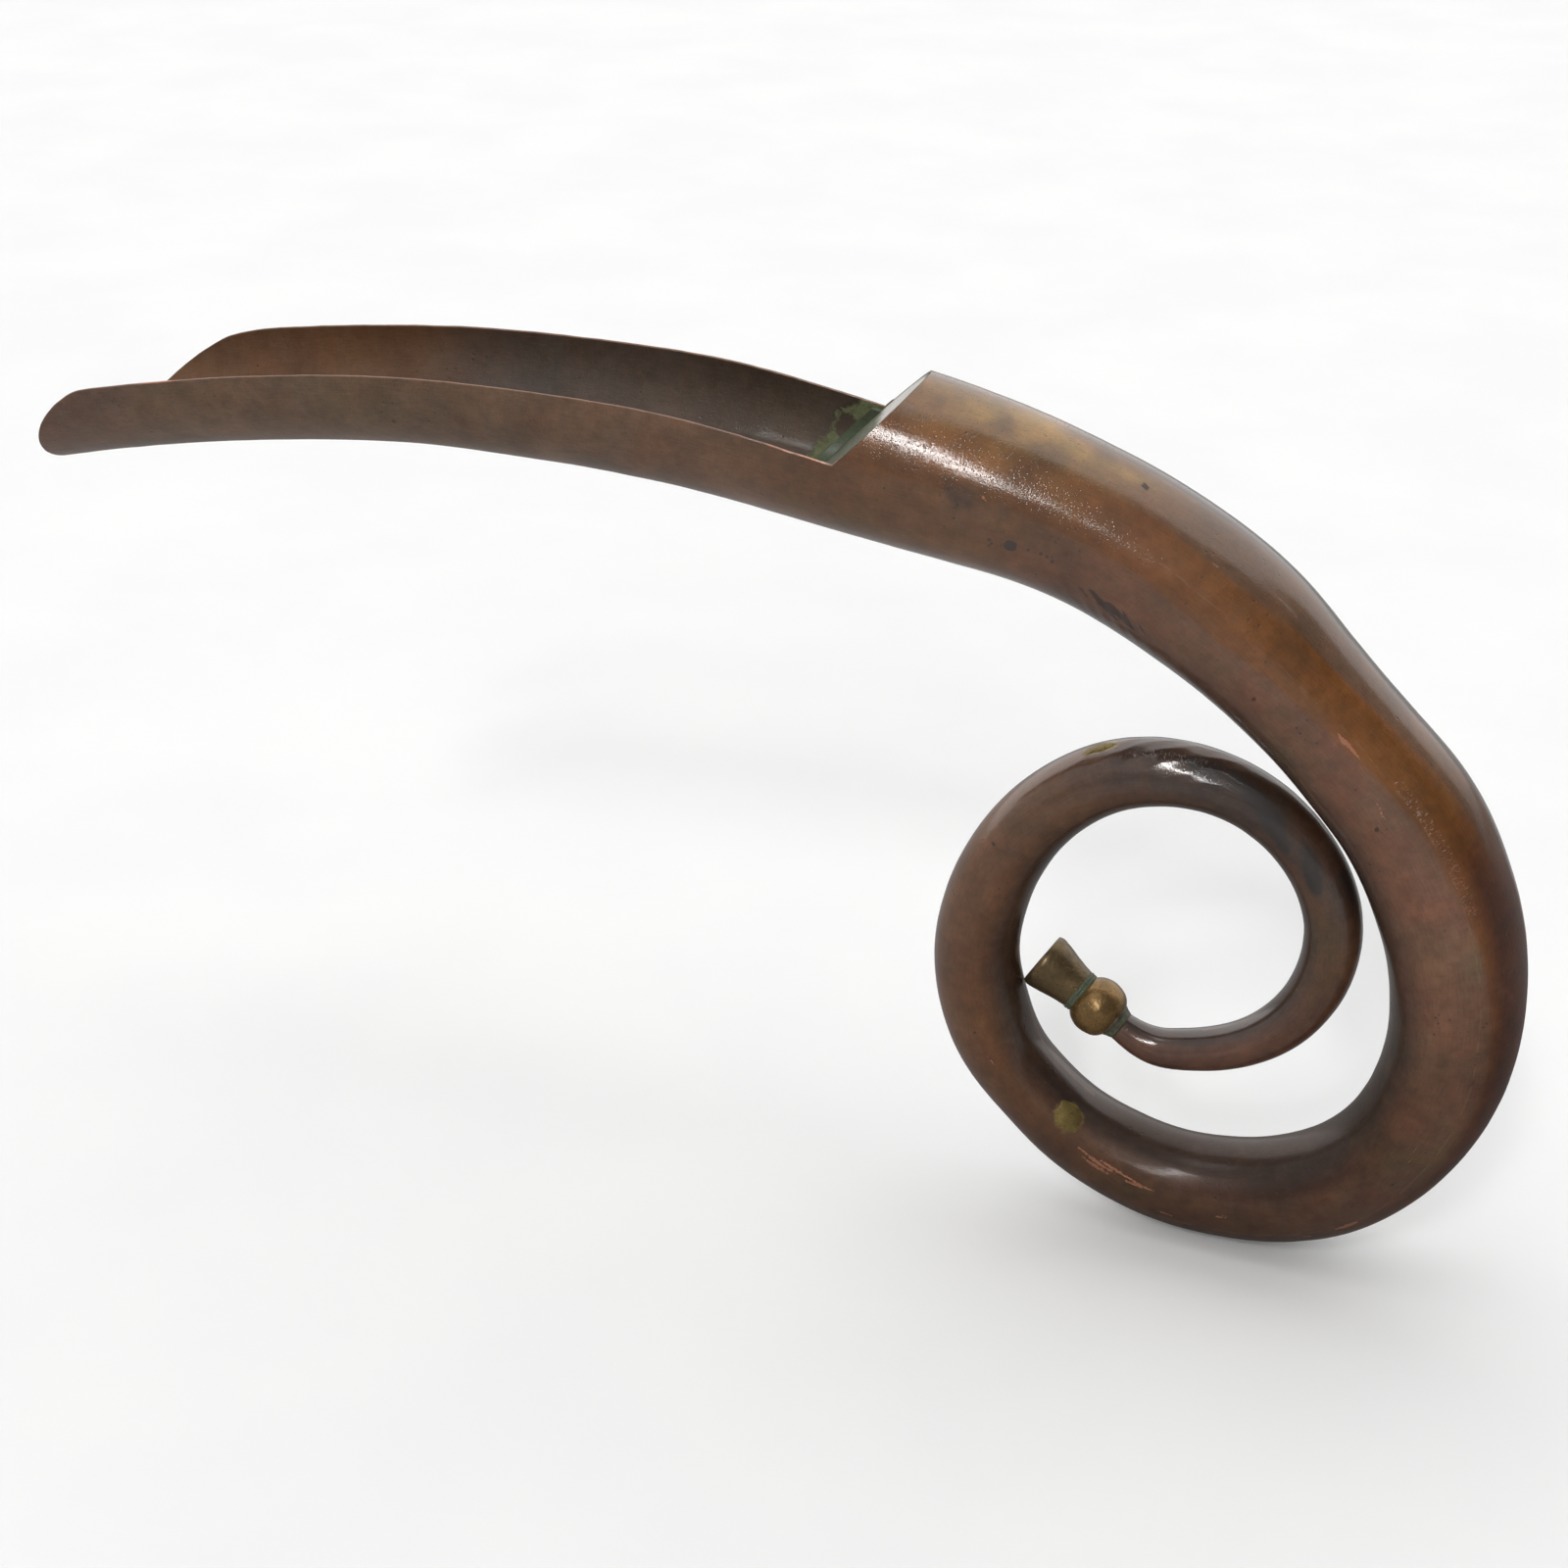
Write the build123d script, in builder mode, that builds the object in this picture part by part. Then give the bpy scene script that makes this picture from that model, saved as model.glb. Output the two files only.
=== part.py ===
"""Coiled copper horn with an open trough at its wide end and a turned mouthpiece.

The centre line lies in the plane Y = 0, with Z up and the front facing -Y. From the trough tip
at the far -X end the tube runs towards +X, then curls down and inwards, clockwise when seen
from the front. The mouthpiece sits on the small end, in the middle of the coil.
All dimensions are in millimetres.
"""
from build123d import *
import math
import os

os.makedirs("parts", exist_ok=True)

# ---------------------------------------------------------------- tube dimensions
WALL = 1.0                    # copper sheet thickness
CLEAR = 0.06                  # solder gap between fitted pieces
SEAM_WIDTH = 1.2              # brazed longitudinal seam
# Seam positions, in degrees from the outside of the bend towards the front
BELL_SEAM_ANGLE = 65.0
COIL_SEAM_ANGLE = 180.0       # on the inside of the bend
# Radial depth of the strips that cut the seams, deeper than the wall they pass through
BELL_STRIP_DEPTH = WALL + 3
MIDDLE_STRIP_DEPTH = WALL + 2
INNER_STRIP_DEPTH = WALL + 1.6

# Centre line from the trough tip to the small end:
# (x, z, direction in degrees from +X towards +Z, outside radius)
TIP = [
    (-229.5, 232.4, 7.7, 29.70), (-214.6, 234.4, 7.7, 28.26), (-184.9, 238.3, 7.2, 25.97),
    (-155.1, 241.9, 6.5, 24.61), (-125.3, 245.1, 5.2, 23.97), (-95.3, 247.0, 2.1, 23.83),
    (-65.3, 247.3, -0.6, 24.00), (-35.4, 246.6, -2.7, 24.26), (-5.5, 243.9, -7.6, 24.41),
]
MOUTH = [
    (24.1, 239.2, -9.9, 24.25), (53.7, 233.9, -10.9, 23.56), (82.9, 227.2, -16.4, 21.82),
]
BIG_TUBE = [
    (110.7, 216.1, -27.1, 21.04), (129.8, 205.1, -33.4, 20.53), (147.1, 191.5, -42.0, 19.60),
    (163.1, 176.4, -44.6, 18.90), (178.5, 160.7, -49.0, 19.00), (191.7, 143.2, -60.4, 19.20),
    (200.8, 123.2, -71.5, 19.00), (206.1, 101.9, -82.0, 18.47), (207.1, 80.0, -94.0, 17.79),
    (202.7, 58.5, -108.7, 17.01), (192.8, 38.9, -126.3, 16.45), (176.8, 24.0, -149.1, 16.00),
    (156.3, 16.4, -169.6, 15.37), (134.4, 15.3, -185.8, 14.51), (113.2, 21.1, -203.1, 13.71),
]
LOWER_JOINT = (100.0, 28.6, -216.0, 13.15)
MIDDLE_COIL = [
    (90.1, 37.1, -224.5, 12.85), (79.8, 49.0, -237.4, 12.86), (72.8, 64.6, -253.0, 13.14),
    (69.6, 78.3, -262.5, 12.74), (69.7, 92.4, -273.5, 12.40), (72.2, 106.1, -285.5, 11.95),
    (77.4, 119.2, -297.0, 11.43), (84.6, 131.2, -306.7, 10.91), (94.2, 141.4, -319.1, 10.52),
]
UPPER_JOINT = (104.9, 148.5, -333.5, 10.18)
INNER_COIL = [
    (119.2, 152.8, -353.6, 9.64), (133.2, 152.4, -371.1, 9.05), (146.5, 147.8, -388.9, 8.54),
    (157.6, 139.2, -405.8, 8.25), (165.9, 127.8, -422.5, 8.14), (170.5, 114.6, -440.6, 8.07),
    (170.5, 100.4, -458.9, 7.92), (166.4, 86.9, -475.3, 7.66), (158.5, 75.2, -493.2, 7.27),
    (147.2, 66.8, -512.7, 6.75), (137.0, 62.5, -524.5, 6.35), (126.0, 61.1, -540.0, 5.75),
    (119.3, 62.7, -560.0, 5.15),
]

BELL_ROWS = TIP + MOUTH + BIG_TUBE + [LOWER_JOINT]
BELL_SEAM_ROWS = MOUTH + BIG_TUBE + [LOWER_JOINT]
MIDDLE_ROWS = [LOWER_JOINT] + MIDDLE_COIL + [UPPER_JOINT]
INNER_ROWS = [UPPER_JOINT] + INNER_COIL
INNER_SEAM_ROWS = INNER_ROWS[:-2]     # the seam stops short of the small end
# Three stations on each side of a joint shape its sleeve and its braze pad
LOWER_JOINT_ROWS = BIG_TUBE[-3:] + [LOWER_JOINT] + MIDDLE_COIL[:3]
UPPER_JOINT_ROWS = MIDDLE_COIL[-3:] + [UPPER_JOINT] + INNER_COIL[:3]

# Small end of the tube, cut square to the mouthpiece axis, which leans to the back (+Y)
TO_RIM = Vector(-0.8530, 0.1640, 0.4950).normalized()      # from the small end towards the rim
TUBE_END = Vector(113.60, 0.0, 66.20)
TUBE_END_R = 4.45
TUBE_END_PLANE = Plane(origin=TUBE_END, x_dir=(0.4985, 0, 0.8669), z_dir=TO_RIM)

# ---------------------------------------------------------------- trough and end plate dimensions
MOUTH_X, MOUTH_Z = 29.6, 240.0        # where the trough edges meet the closed tube
PLATE_SLOPE = math.radians(45.5)      # slope of the end plate above the horizontal
PLATE_THICK = 1.2
PLATE_GAP = 0.05                      # between the end plate and its solder
FILLET = 2.2                          # size of the solder fillet at the foot of the end plate
CUT_RUN = 50                          # how far the sloping cut goes on beyond the mouth, along X
SLOPE_TOP = (MOUTH_X + CUT_RUN, MOUTH_Z + CUT_RUN * math.tan(PLATE_SLOPE))
CUT_HALF_DEPTH = 45                   # cuts drawn in the plane Y = 0 reach this far each way
PLATE_BLANK = (120, 80)               # sheet the plate and its solder are trimmed from

# Trough edge seen from the front, as (x, z)
TROUGH_EDGE = [
    (-250, 223.0), (-225.5, 228.7), (-200.5, 234.3), (-170.5, 240.1), (-135.5, 245.5),
    (-98.8, 249.1), (-62.1, 250.1), (-25.4, 249.0), (11.3, 243.8), (MOUTH_X, MOUTH_Z),
]
# Trough tip seen from above, as (x, y): the front corner is tight, the back corner is long
TIP_FRONT = [
    (-221.7, 0), (-221.4, -14.4), (-219.9, -20.5), (-217.0, -24.3), (-212.5, -26.5),
    (-206.6, -27.5), (-199.0, -29.5),
]
TIP_BACK = [
    (-178.0, 28.0), (-187.2, 25.9), (-196.2, 24.3), (-203.4, 21.4), (-209.5, 17.1),
    (-214.5, 11.8), (-218.4, 6.4), (-220.9, 2.2), (-221.7, 0),
]
TIP_CUT_Z, TIP_CUT_HEIGHT = 180, 120

# ---------------------------------------------------------------- joint dimensions
SLEEVE_HALF = 10.0                    # half length of each hidden joint sleeve
SLEEVE_WALL = 0.6
SLEEVE_GAP = 0.2                      # between the tube bore and the sleeve
SLEEVE_BLANK = 60                     # square block that limits the sleeve length
PATCH_LONG, PATCH_SHORT = 9.0, 7.0    # lower braze pad, along and around the tube
UPPER_PATCH_INSET = 0.8               # taken off both half sizes for the upper pad
PATCH_PROUD = 0.35
PATCH_SUNK = 0.3
PATCH_REACH = 30                      # extrusion from the centre line, past the tube surface
# Pad positions, in degrees from the outside of the bend towards the front
LOWER_PATCH_ANGLE = 127
UPPER_PATCH_ANGLE = 7

# ---------------------------------------------------------------- mouthpiece dimensions
RIM_R = 8.25
RIM_WIDTH = 0.85
WAIST_R = 6.4
KNOP_R = 8.75
CUP_LEN = 14.2
RING_LEN = 1.7
KNOP_LEN = 12.4
COLLAR_LEN = 2.0
STEM_R, STEM_BORE_R = 2.6, 1.7
STEM_START, STEM_LEN = 11.8, 24.8
STEM_CHAMFER_LEN, STEM_CHAMFER_DEPTH = 1, 0.5
HOLE_R = STEM_R + CLEAR
THROAT_AT = 10.0                      # where the cup hollow narrows to the stem bore
STEM_GAP = 0.05                       # between the stem and the bottom of its hole
FACE_GAP = 0.02                       # at the ends of the cup and the knop
COLLAR_GAP = 0.03                     # between the collar and the tube end
RING_OUT_R, RING_MID_R, RING_IN_R = 6.45, 6.2, 6.5   # ring at the cup, middle and knop
KNOP_START_R, KNOP_END_R = 6.1, 5.2
COLLAR_START_R, COLLAR_MID_R, COLLAR_END_R = 5.1, 4.85, 4.6
COLLAR_MID = 0.9                      # along the collar
STEM_SOLDER_START, STEM_SOLDER_END = 0.05, 1.6       # distances inside the tube end

# Distances from the rim along the axis
RING_AT = CUP_LEN
KNOP_AT = RING_AT + RING_LEN
COLLAR_AT = KNOP_AT + KNOP_LEN
TUBE_AT = COLLAR_AT + COLLAR_LEN
CUP_END = CUP_LEN - FACE_GAP
KNOP_START = KNOP_AT + FACE_GAP
KNOP_END = KNOP_AT + KNOP_LEN - FACE_GAP
COLLAR_END = COLLAR_AT + COLLAR_LEN - COLLAR_GAP
STEM_HOLE_AT = STEM_START - STEM_GAP
STEM_END = STEM_START + STEM_LEN

# In the turning plane local x runs from the rim into the horn and local y is the radius
RIM_CENTRE = TUBE_END + TO_RIM * TUBE_AT
INTO_HORN = TO_RIM * -1
side_guide = Vector(0.5017, 0.0, 0.8650)
RADIAL = (side_guide - TO_RIM * side_guide.dot(TO_RIM)).normalized()
TURNING_PLANE = Plane(origin=RIM_CENTRE, x_dir=INTO_HORN, z_dir=INTO_HORN.cross(RADIAL))
TURNING_AXIS = Axis(RIM_CENTRE, INTO_HORN)


# ---------------------------------------------------------------- shared tools
def station(row, angle=0.0):
    """Plane across the tube: x points out of the bend and y to the front, turned by angle."""
    x, z, direction, _ = row
    heading = math.radians(direction)
    tangent = Vector(math.cos(heading), 0, math.sin(heading))
    outward = Vector(-math.sin(heading), 0, math.cos(heading))
    front = Vector(0, -1, 0)
    turn = math.radians(angle)
    return Plane(origin=(x, 0, z), x_dir=outward * math.cos(turn) + front * math.sin(turn),
                 z_dir=tangent)


def radial_plane(row, angle):
    """Plane on the centre line with x along the tube and its normal pointing radially out."""
    across = station(row, angle)
    return Plane(origin=across.origin, x_dir=across.z_dir, z_dir=across.x_dir)


def round_sections(rows):
    """The (plane, outside radius) of each centre line row."""
    return [(station(row), row[3]) for row in rows]


# A sketch drawn inside a function does not join the caller's part, so the two functions below
# hand their faces to loft, which does act on the caller's part.
def loft_round(sections, inset=0.0, mode=Mode.ADD):
    """Loft circles that lie inset inside the outside radius of each section."""
    faces = []
    for plane, radius in sections:
        with BuildSketch(plane) as disc:
            Circle(radius - inset)
        faces.append(disc.sketch.face())
    loft(faces, mode=mode)


def loft_seam_strip(rows, angle, depth, mode):
    """Loft a narrow strip through the tube wall, centred on the wall thickness."""
    faces = []
    for row in rows:
        with BuildSketch(station(row, angle)) as strip:
            with Locations((row[3] - WALL / 2, 0)):
                Rectangle(depth, SEAM_WIDTH)
        faces.append(strip.sketch.face())
    loft(faces, mode=mode)


def subtract_all(cutters):
    for cutter in cutters:
        add(cutter, mode=Mode.SUBTRACT)


def export_part(part, name):
    part.label = name
    export_step(part, f"parts/{name}.step")


# ---------------------------------------------------------------- tubes and their seams
BELL = round_sections(BELL_ROWS)
MIDDLE = round_sections(MIDDLE_ROWS)
INNER = round_sections(INNER_ROWS) + [(TUBE_END_PLANE, TUBE_END_R)]


def make_bell_section():
    with BuildPart() as bell:
        loft_round(BELL)
        loft_round(BELL, WALL, Mode.SUBTRACT)
        # open the top of the wide end and leave a trough, cut obliquely at the closed tube
        with BuildSketch(Plane.XZ):
            with BuildLine():
                Spline(*TROUGH_EDGE)
                Polyline(TROUGH_EDGE[-1], SLOPE_TOP, (-250, 300), TROUGH_EDGE[0])
            make_face()
        extrude(amount=CUT_HALF_DEPTH, both=True, mode=Mode.SUBTRACT)
        # round the trough tip
        with BuildSketch(Plane.XY.offset(TIP_CUT_Z)):
            with BuildLine():
                Spline(*TIP_FRONT)
                Polyline(TIP_FRONT[-1], (-199.0, -50), (-260, -50), (-260, 50),
                         (-178.0, 50), TIP_BACK[0])
                Spline(*TIP_BACK)
            make_face()
        extrude(amount=TIP_CUT_HEIGHT, mode=Mode.SUBTRACT)
        # slot for the brazed seam
        loft_seam_strip(BELL_SEAM_ROWS, BELL_SEAM_ANGLE, BELL_STRIP_DEPTH, Mode.SUBTRACT)
    return bell.part


def make_bell_seam():
    with BuildPart() as seam:
        loft_round(BELL)
        loft_round(BELL, WALL, Mode.SUBTRACT)
        # keep only the closed tube, beyond the mouth
        with BuildSketch(Plane.XZ):
            with BuildLine():
                Polyline((-260, 200), (MOUTH_X, 200), (MOUTH_X, MOUTH_Z), SLOPE_TOP,
                         (-260, 320), (-260, 200))
            make_face()
        extrude(amount=CUT_HALF_DEPTH, both=True, mode=Mode.SUBTRACT)
        loft_seam_strip(BELL_SEAM_ROWS, BELL_SEAM_ANGLE, BELL_STRIP_DEPTH, Mode.INTERSECT)
    return seam.part


def make_coil_piece(sections, seam_rows, strip_depth, strip_mode):
    """Tube wall less its seam (SUBTRACT), or the seam alone (INTERSECT)."""
    with BuildPart() as piece:
        loft_round(sections)
        loft_round(sections, WALL, Mode.SUBTRACT)
        loft_seam_strip(seam_rows, COIL_SEAM_ANGLE, strip_depth, strip_mode)
    return piece.part


bell_section = make_bell_section()
export_part(bell_section, "bell_section")
export_part(make_bell_seam(), "bell_seam_braze")

middle_tube = make_coil_piece(MIDDLE, MIDDLE_ROWS, MIDDLE_STRIP_DEPTH, Mode.SUBTRACT)
export_part(middle_tube, "middle_coil_tube")
middle_seam = make_coil_piece(MIDDLE, MIDDLE_ROWS, MIDDLE_STRIP_DEPTH, Mode.INTERSECT)
export_part(middle_seam, "middle_coil_seam_braze")

inner_tube = make_coil_piece(INNER, INNER_SEAM_ROWS, INNER_STRIP_DEPTH, Mode.SUBTRACT)
export_part(inner_tube, "inner_coil_tube")
inner_seam = make_coil_piece(INNER, INNER_SEAM_ROWS, INNER_STRIP_DEPTH, Mode.INTERSECT)
export_part(inner_seam, "inner_coil_seam_braze")


# ---------------------------------------------------------------- joint sleeves and braze pads
def make_sleeve(rows, joint, cutters):
    """Thin sleeve hidden inside a tube joint."""
    sections = round_sections(rows)
    outer_inset = WALL + SLEEVE_GAP
    with BuildPart() as sleeve:
        loft_round(sections, outer_inset)
        loft_round(sections, outer_inset + SLEEVE_WALL, Mode.SUBTRACT)
        with BuildSketch(station(joint)):
            Rectangle(SLEEVE_BLANK, SLEEVE_BLANK)
        extrude(amount=SLEEVE_HALF, both=True, mode=Mode.INTERSECT)
        subtract_all(cutters)
    return sleeve.part


def make_patch(rows, joint, angle, inset, cutters):
    """Oval brass pad that stands slightly proud of the tube over a joint."""
    sections = round_sections(rows)
    with BuildPart() as patch:
        with BuildSketch(radial_plane(joint, angle)):
            Ellipse(PATCH_LONG / 2 - inset, PATCH_SHORT / 2 - inset)
        extrude(amount=PATCH_REACH)
        loft_round(sections, -PATCH_PROUD, Mode.INTERSECT)
        loft_round(sections, PATCH_SUNK, Mode.SUBTRACT)
        subtract_all(cutters)
    return patch.part


export_part(make_sleeve(LOWER_JOINT_ROWS, LOWER_JOINT, [bell_section, middle_tube]),
            "lower_joint_sleeve")
export_part(make_sleeve(UPPER_JOINT_ROWS, UPPER_JOINT, [middle_tube, inner_tube, inner_seam]),
            "upper_joint_sleeve")
export_part(make_patch(LOWER_JOINT_ROWS, LOWER_JOINT, LOWER_PATCH_ANGLE, 0,
                       [bell_section, middle_tube]), "lower_braze_patch")
export_part(make_patch(UPPER_JOINT_ROWS, UPPER_JOINT, UPPER_PATCH_ANGLE, UPPER_PATCH_INSET,
                       [middle_tube, inner_tube]), "upper_braze_patch")

# ---------------------------------------------------------------- end plate and its solder
# The plane rises towards +X from the mouth; its normal points up, to the trough side
PLATE_PLANE = Plane(origin=(MOUTH_X, 0, MOUTH_Z),
                    x_dir=(math.cos(PLATE_SLOPE), 0, math.sin(PLATE_SLOPE)),
                    z_dir=(-math.sin(PLATE_SLOPE), 0, math.cos(PLATE_SLOPE)))


def make_end_plate():
    """Plate that closes the tube where the trough begins."""
    with BuildPart() as plate:
        with BuildSketch(PLATE_PLANE.offset(-PLATE_THICK - PLATE_GAP)):
            Rectangle(*PLATE_BLANK)
        extrude(amount=PLATE_THICK)
        loft_round(BELL, WALL + CLEAR, Mode.INTERSECT)
    return plate.part


def make_end_plate_solder():
    edge_z = MOUTH_Z - 0.4
    with BuildPart() as solder:
        with BuildSketch(PLATE_PLANE):
            Rectangle(*PLATE_BLANK)
        extrude(amount=FILLET)
        loft_round(BELL, WALL + CLEAR, Mode.INTERSECT)
        loft_round(BELL, WALL + CLEAR + FILLET, Mode.SUBTRACT)
        # nothing stands above the trough edges
        with BuildSketch(Plane.XZ):
            with BuildLine():
                Polyline((-60, 249), (11.3, 243.4), (MOUTH_X, edge_z), (120, edge_z),
                         (120, 320), (-60, 320), (-60, 249))
            make_face()
        extrude(amount=CUT_HALF_DEPTH, both=True, mode=Mode.SUBTRACT)
    return solder.part


export_part(make_end_plate(), "end_plate")
export_part(make_end_plate_solder(), "end_plate_solder")


# ---------------------------------------------------------------- mouthpiece, turned on its axis
def make_cup():
    with BuildPart() as cup:
        with BuildSketch(TURNING_PLANE):
            with BuildLine():
                Line((0, RIM_R - RIM_WIDTH), (0, RIM_R))
                Spline((0, RIM_R), (1.0, 8.66), (2.6, 8.64), (5.0, 8.2), (8.0, 7.48),
                       (11.0, 6.85), (CUP_END, WAIST_R))
                Polyline((CUP_END, WAIST_R), (CUP_END, HOLE_R), (STEM_HOLE_AT, HOLE_R),
                         (STEM_HOLE_AT, STEM_BORE_R), (THROAT_AT, STEM_BORE_R))
                Spline((THROAT_AT, STEM_BORE_R), (8.0, 3.6), (4.0, 6.0), (0, RIM_R - RIM_WIDTH))
            make_face()
        revolve(axis=TURNING_AXIS)
    return cup.part


def make_cup_solder_ring():
    with BuildPart() as ring:
        with BuildSketch(TURNING_PLANE):
            with BuildLine():
                Line((RING_AT, HOLE_R), (RING_AT, RING_OUT_R))
                ThreePointArc((RING_AT, RING_OUT_R), (RING_AT + RING_LEN / 2, RING_MID_R),
                              (KNOP_AT, RING_IN_R))
                Polyline((KNOP_AT, RING_IN_R), (KNOP_AT, HOLE_R), (RING_AT, HOLE_R))
            make_face()
        revolve(axis=TURNING_AXIS)
    return ring.part


def make_knop():
    with BuildPart() as knop:
        with BuildSketch(TURNING_PLANE):
            with BuildLine():
                Line((KNOP_START, HOLE_R), (KNOP_START, KNOP_START_R))
                Spline((KNOP_START, KNOP_START_R), (KNOP_AT + 2.6, 8.15), (KNOP_AT + 6.2, KNOP_R),
                       (KNOP_AT + 10.0, 7.8), (KNOP_END, KNOP_END_R))
                Polyline((KNOP_END, KNOP_END_R), (KNOP_END, HOLE_R), (KNOP_START, HOLE_R))
            make_face()
        revolve(axis=TURNING_AXIS)
    return knop.part


def make_turned(corners, cutters=()):
    """Revolve a straight-sided profile of (distance from the rim, radius) corners."""
    with BuildPart() as turned:
        with BuildSketch(TURNING_PLANE):
            with BuildLine():
                Polyline(*corners, corners[0])
            make_face()
        revolve(axis=TURNING_AXIS)
        subtract_all(cutters)
    return turned.part


COLLAR_PROFILE = [
    (COLLAR_AT, HOLE_R), (COLLAR_AT, COLLAR_START_R), (COLLAR_AT + COLLAR_MID, COLLAR_MID_R),
    (COLLAR_END, COLLAR_END_R), (COLLAR_END, HOLE_R),
]
STEM_PROFILE = [
    (STEM_START, STEM_BORE_R), (STEM_START, STEM_R), (STEM_END - STEM_CHAMFER_LEN, STEM_R),
    (STEM_END, STEM_R - STEM_CHAMFER_DEPTH), (STEM_END, STEM_BORE_R),
]
SOLDER_R = TUBE_END_R - WALL - CLEAR
STEM_SOLDER_PROFILE = [
    (TUBE_AT + STEM_SOLDER_START, HOLE_R), (TUBE_AT + STEM_SOLDER_START, SOLDER_R),
    (TUBE_AT + STEM_SOLDER_END, SOLDER_R), (TUBE_AT + STEM_SOLDER_END, HOLE_R),
]

export_part(make_cup(), "mouthpiece_cup")
export_part(make_cup_solder_ring(), "cup_solder_ring")
export_part(make_knop(), "mouthpiece_knop")
export_part(make_turned(COLLAR_PROFILE), "mouthpiece_collar")
export_part(make_turned(STEM_PROFILE, [inner_tube]), "mouthpiece_stem")
export_part(make_turned(STEM_SOLDER_PROFILE, [inner_tube]), "stem_solder")
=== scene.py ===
# A coiled copper horn standing in the XZ plane. An open trough starts at the left (-X), closes
# behind an oblique end plate, bends down at the right (+X) and coils inwards, narrowing to a
# turned mouthpiece. Front is -Y. Shapes are worked out in millimetres, and meshes are in metres.
import math
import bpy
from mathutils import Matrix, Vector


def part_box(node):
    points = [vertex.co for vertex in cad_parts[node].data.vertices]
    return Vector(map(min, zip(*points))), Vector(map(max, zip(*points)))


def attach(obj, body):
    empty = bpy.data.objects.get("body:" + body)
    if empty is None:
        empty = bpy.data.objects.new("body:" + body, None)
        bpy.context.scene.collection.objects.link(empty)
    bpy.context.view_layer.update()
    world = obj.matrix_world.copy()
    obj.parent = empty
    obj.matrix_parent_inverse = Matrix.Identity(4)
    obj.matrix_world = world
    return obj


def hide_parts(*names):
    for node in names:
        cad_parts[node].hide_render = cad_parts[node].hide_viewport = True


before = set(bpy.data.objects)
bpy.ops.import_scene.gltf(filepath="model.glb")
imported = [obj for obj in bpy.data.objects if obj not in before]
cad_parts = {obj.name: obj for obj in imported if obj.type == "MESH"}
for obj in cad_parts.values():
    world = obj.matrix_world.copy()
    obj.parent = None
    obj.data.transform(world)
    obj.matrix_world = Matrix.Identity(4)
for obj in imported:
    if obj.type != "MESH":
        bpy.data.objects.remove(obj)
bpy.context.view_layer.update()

from types import SimpleNamespace

import bpy
import numpy as np
from mathutils import Matrix, Vector

MM = 0.001

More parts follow.
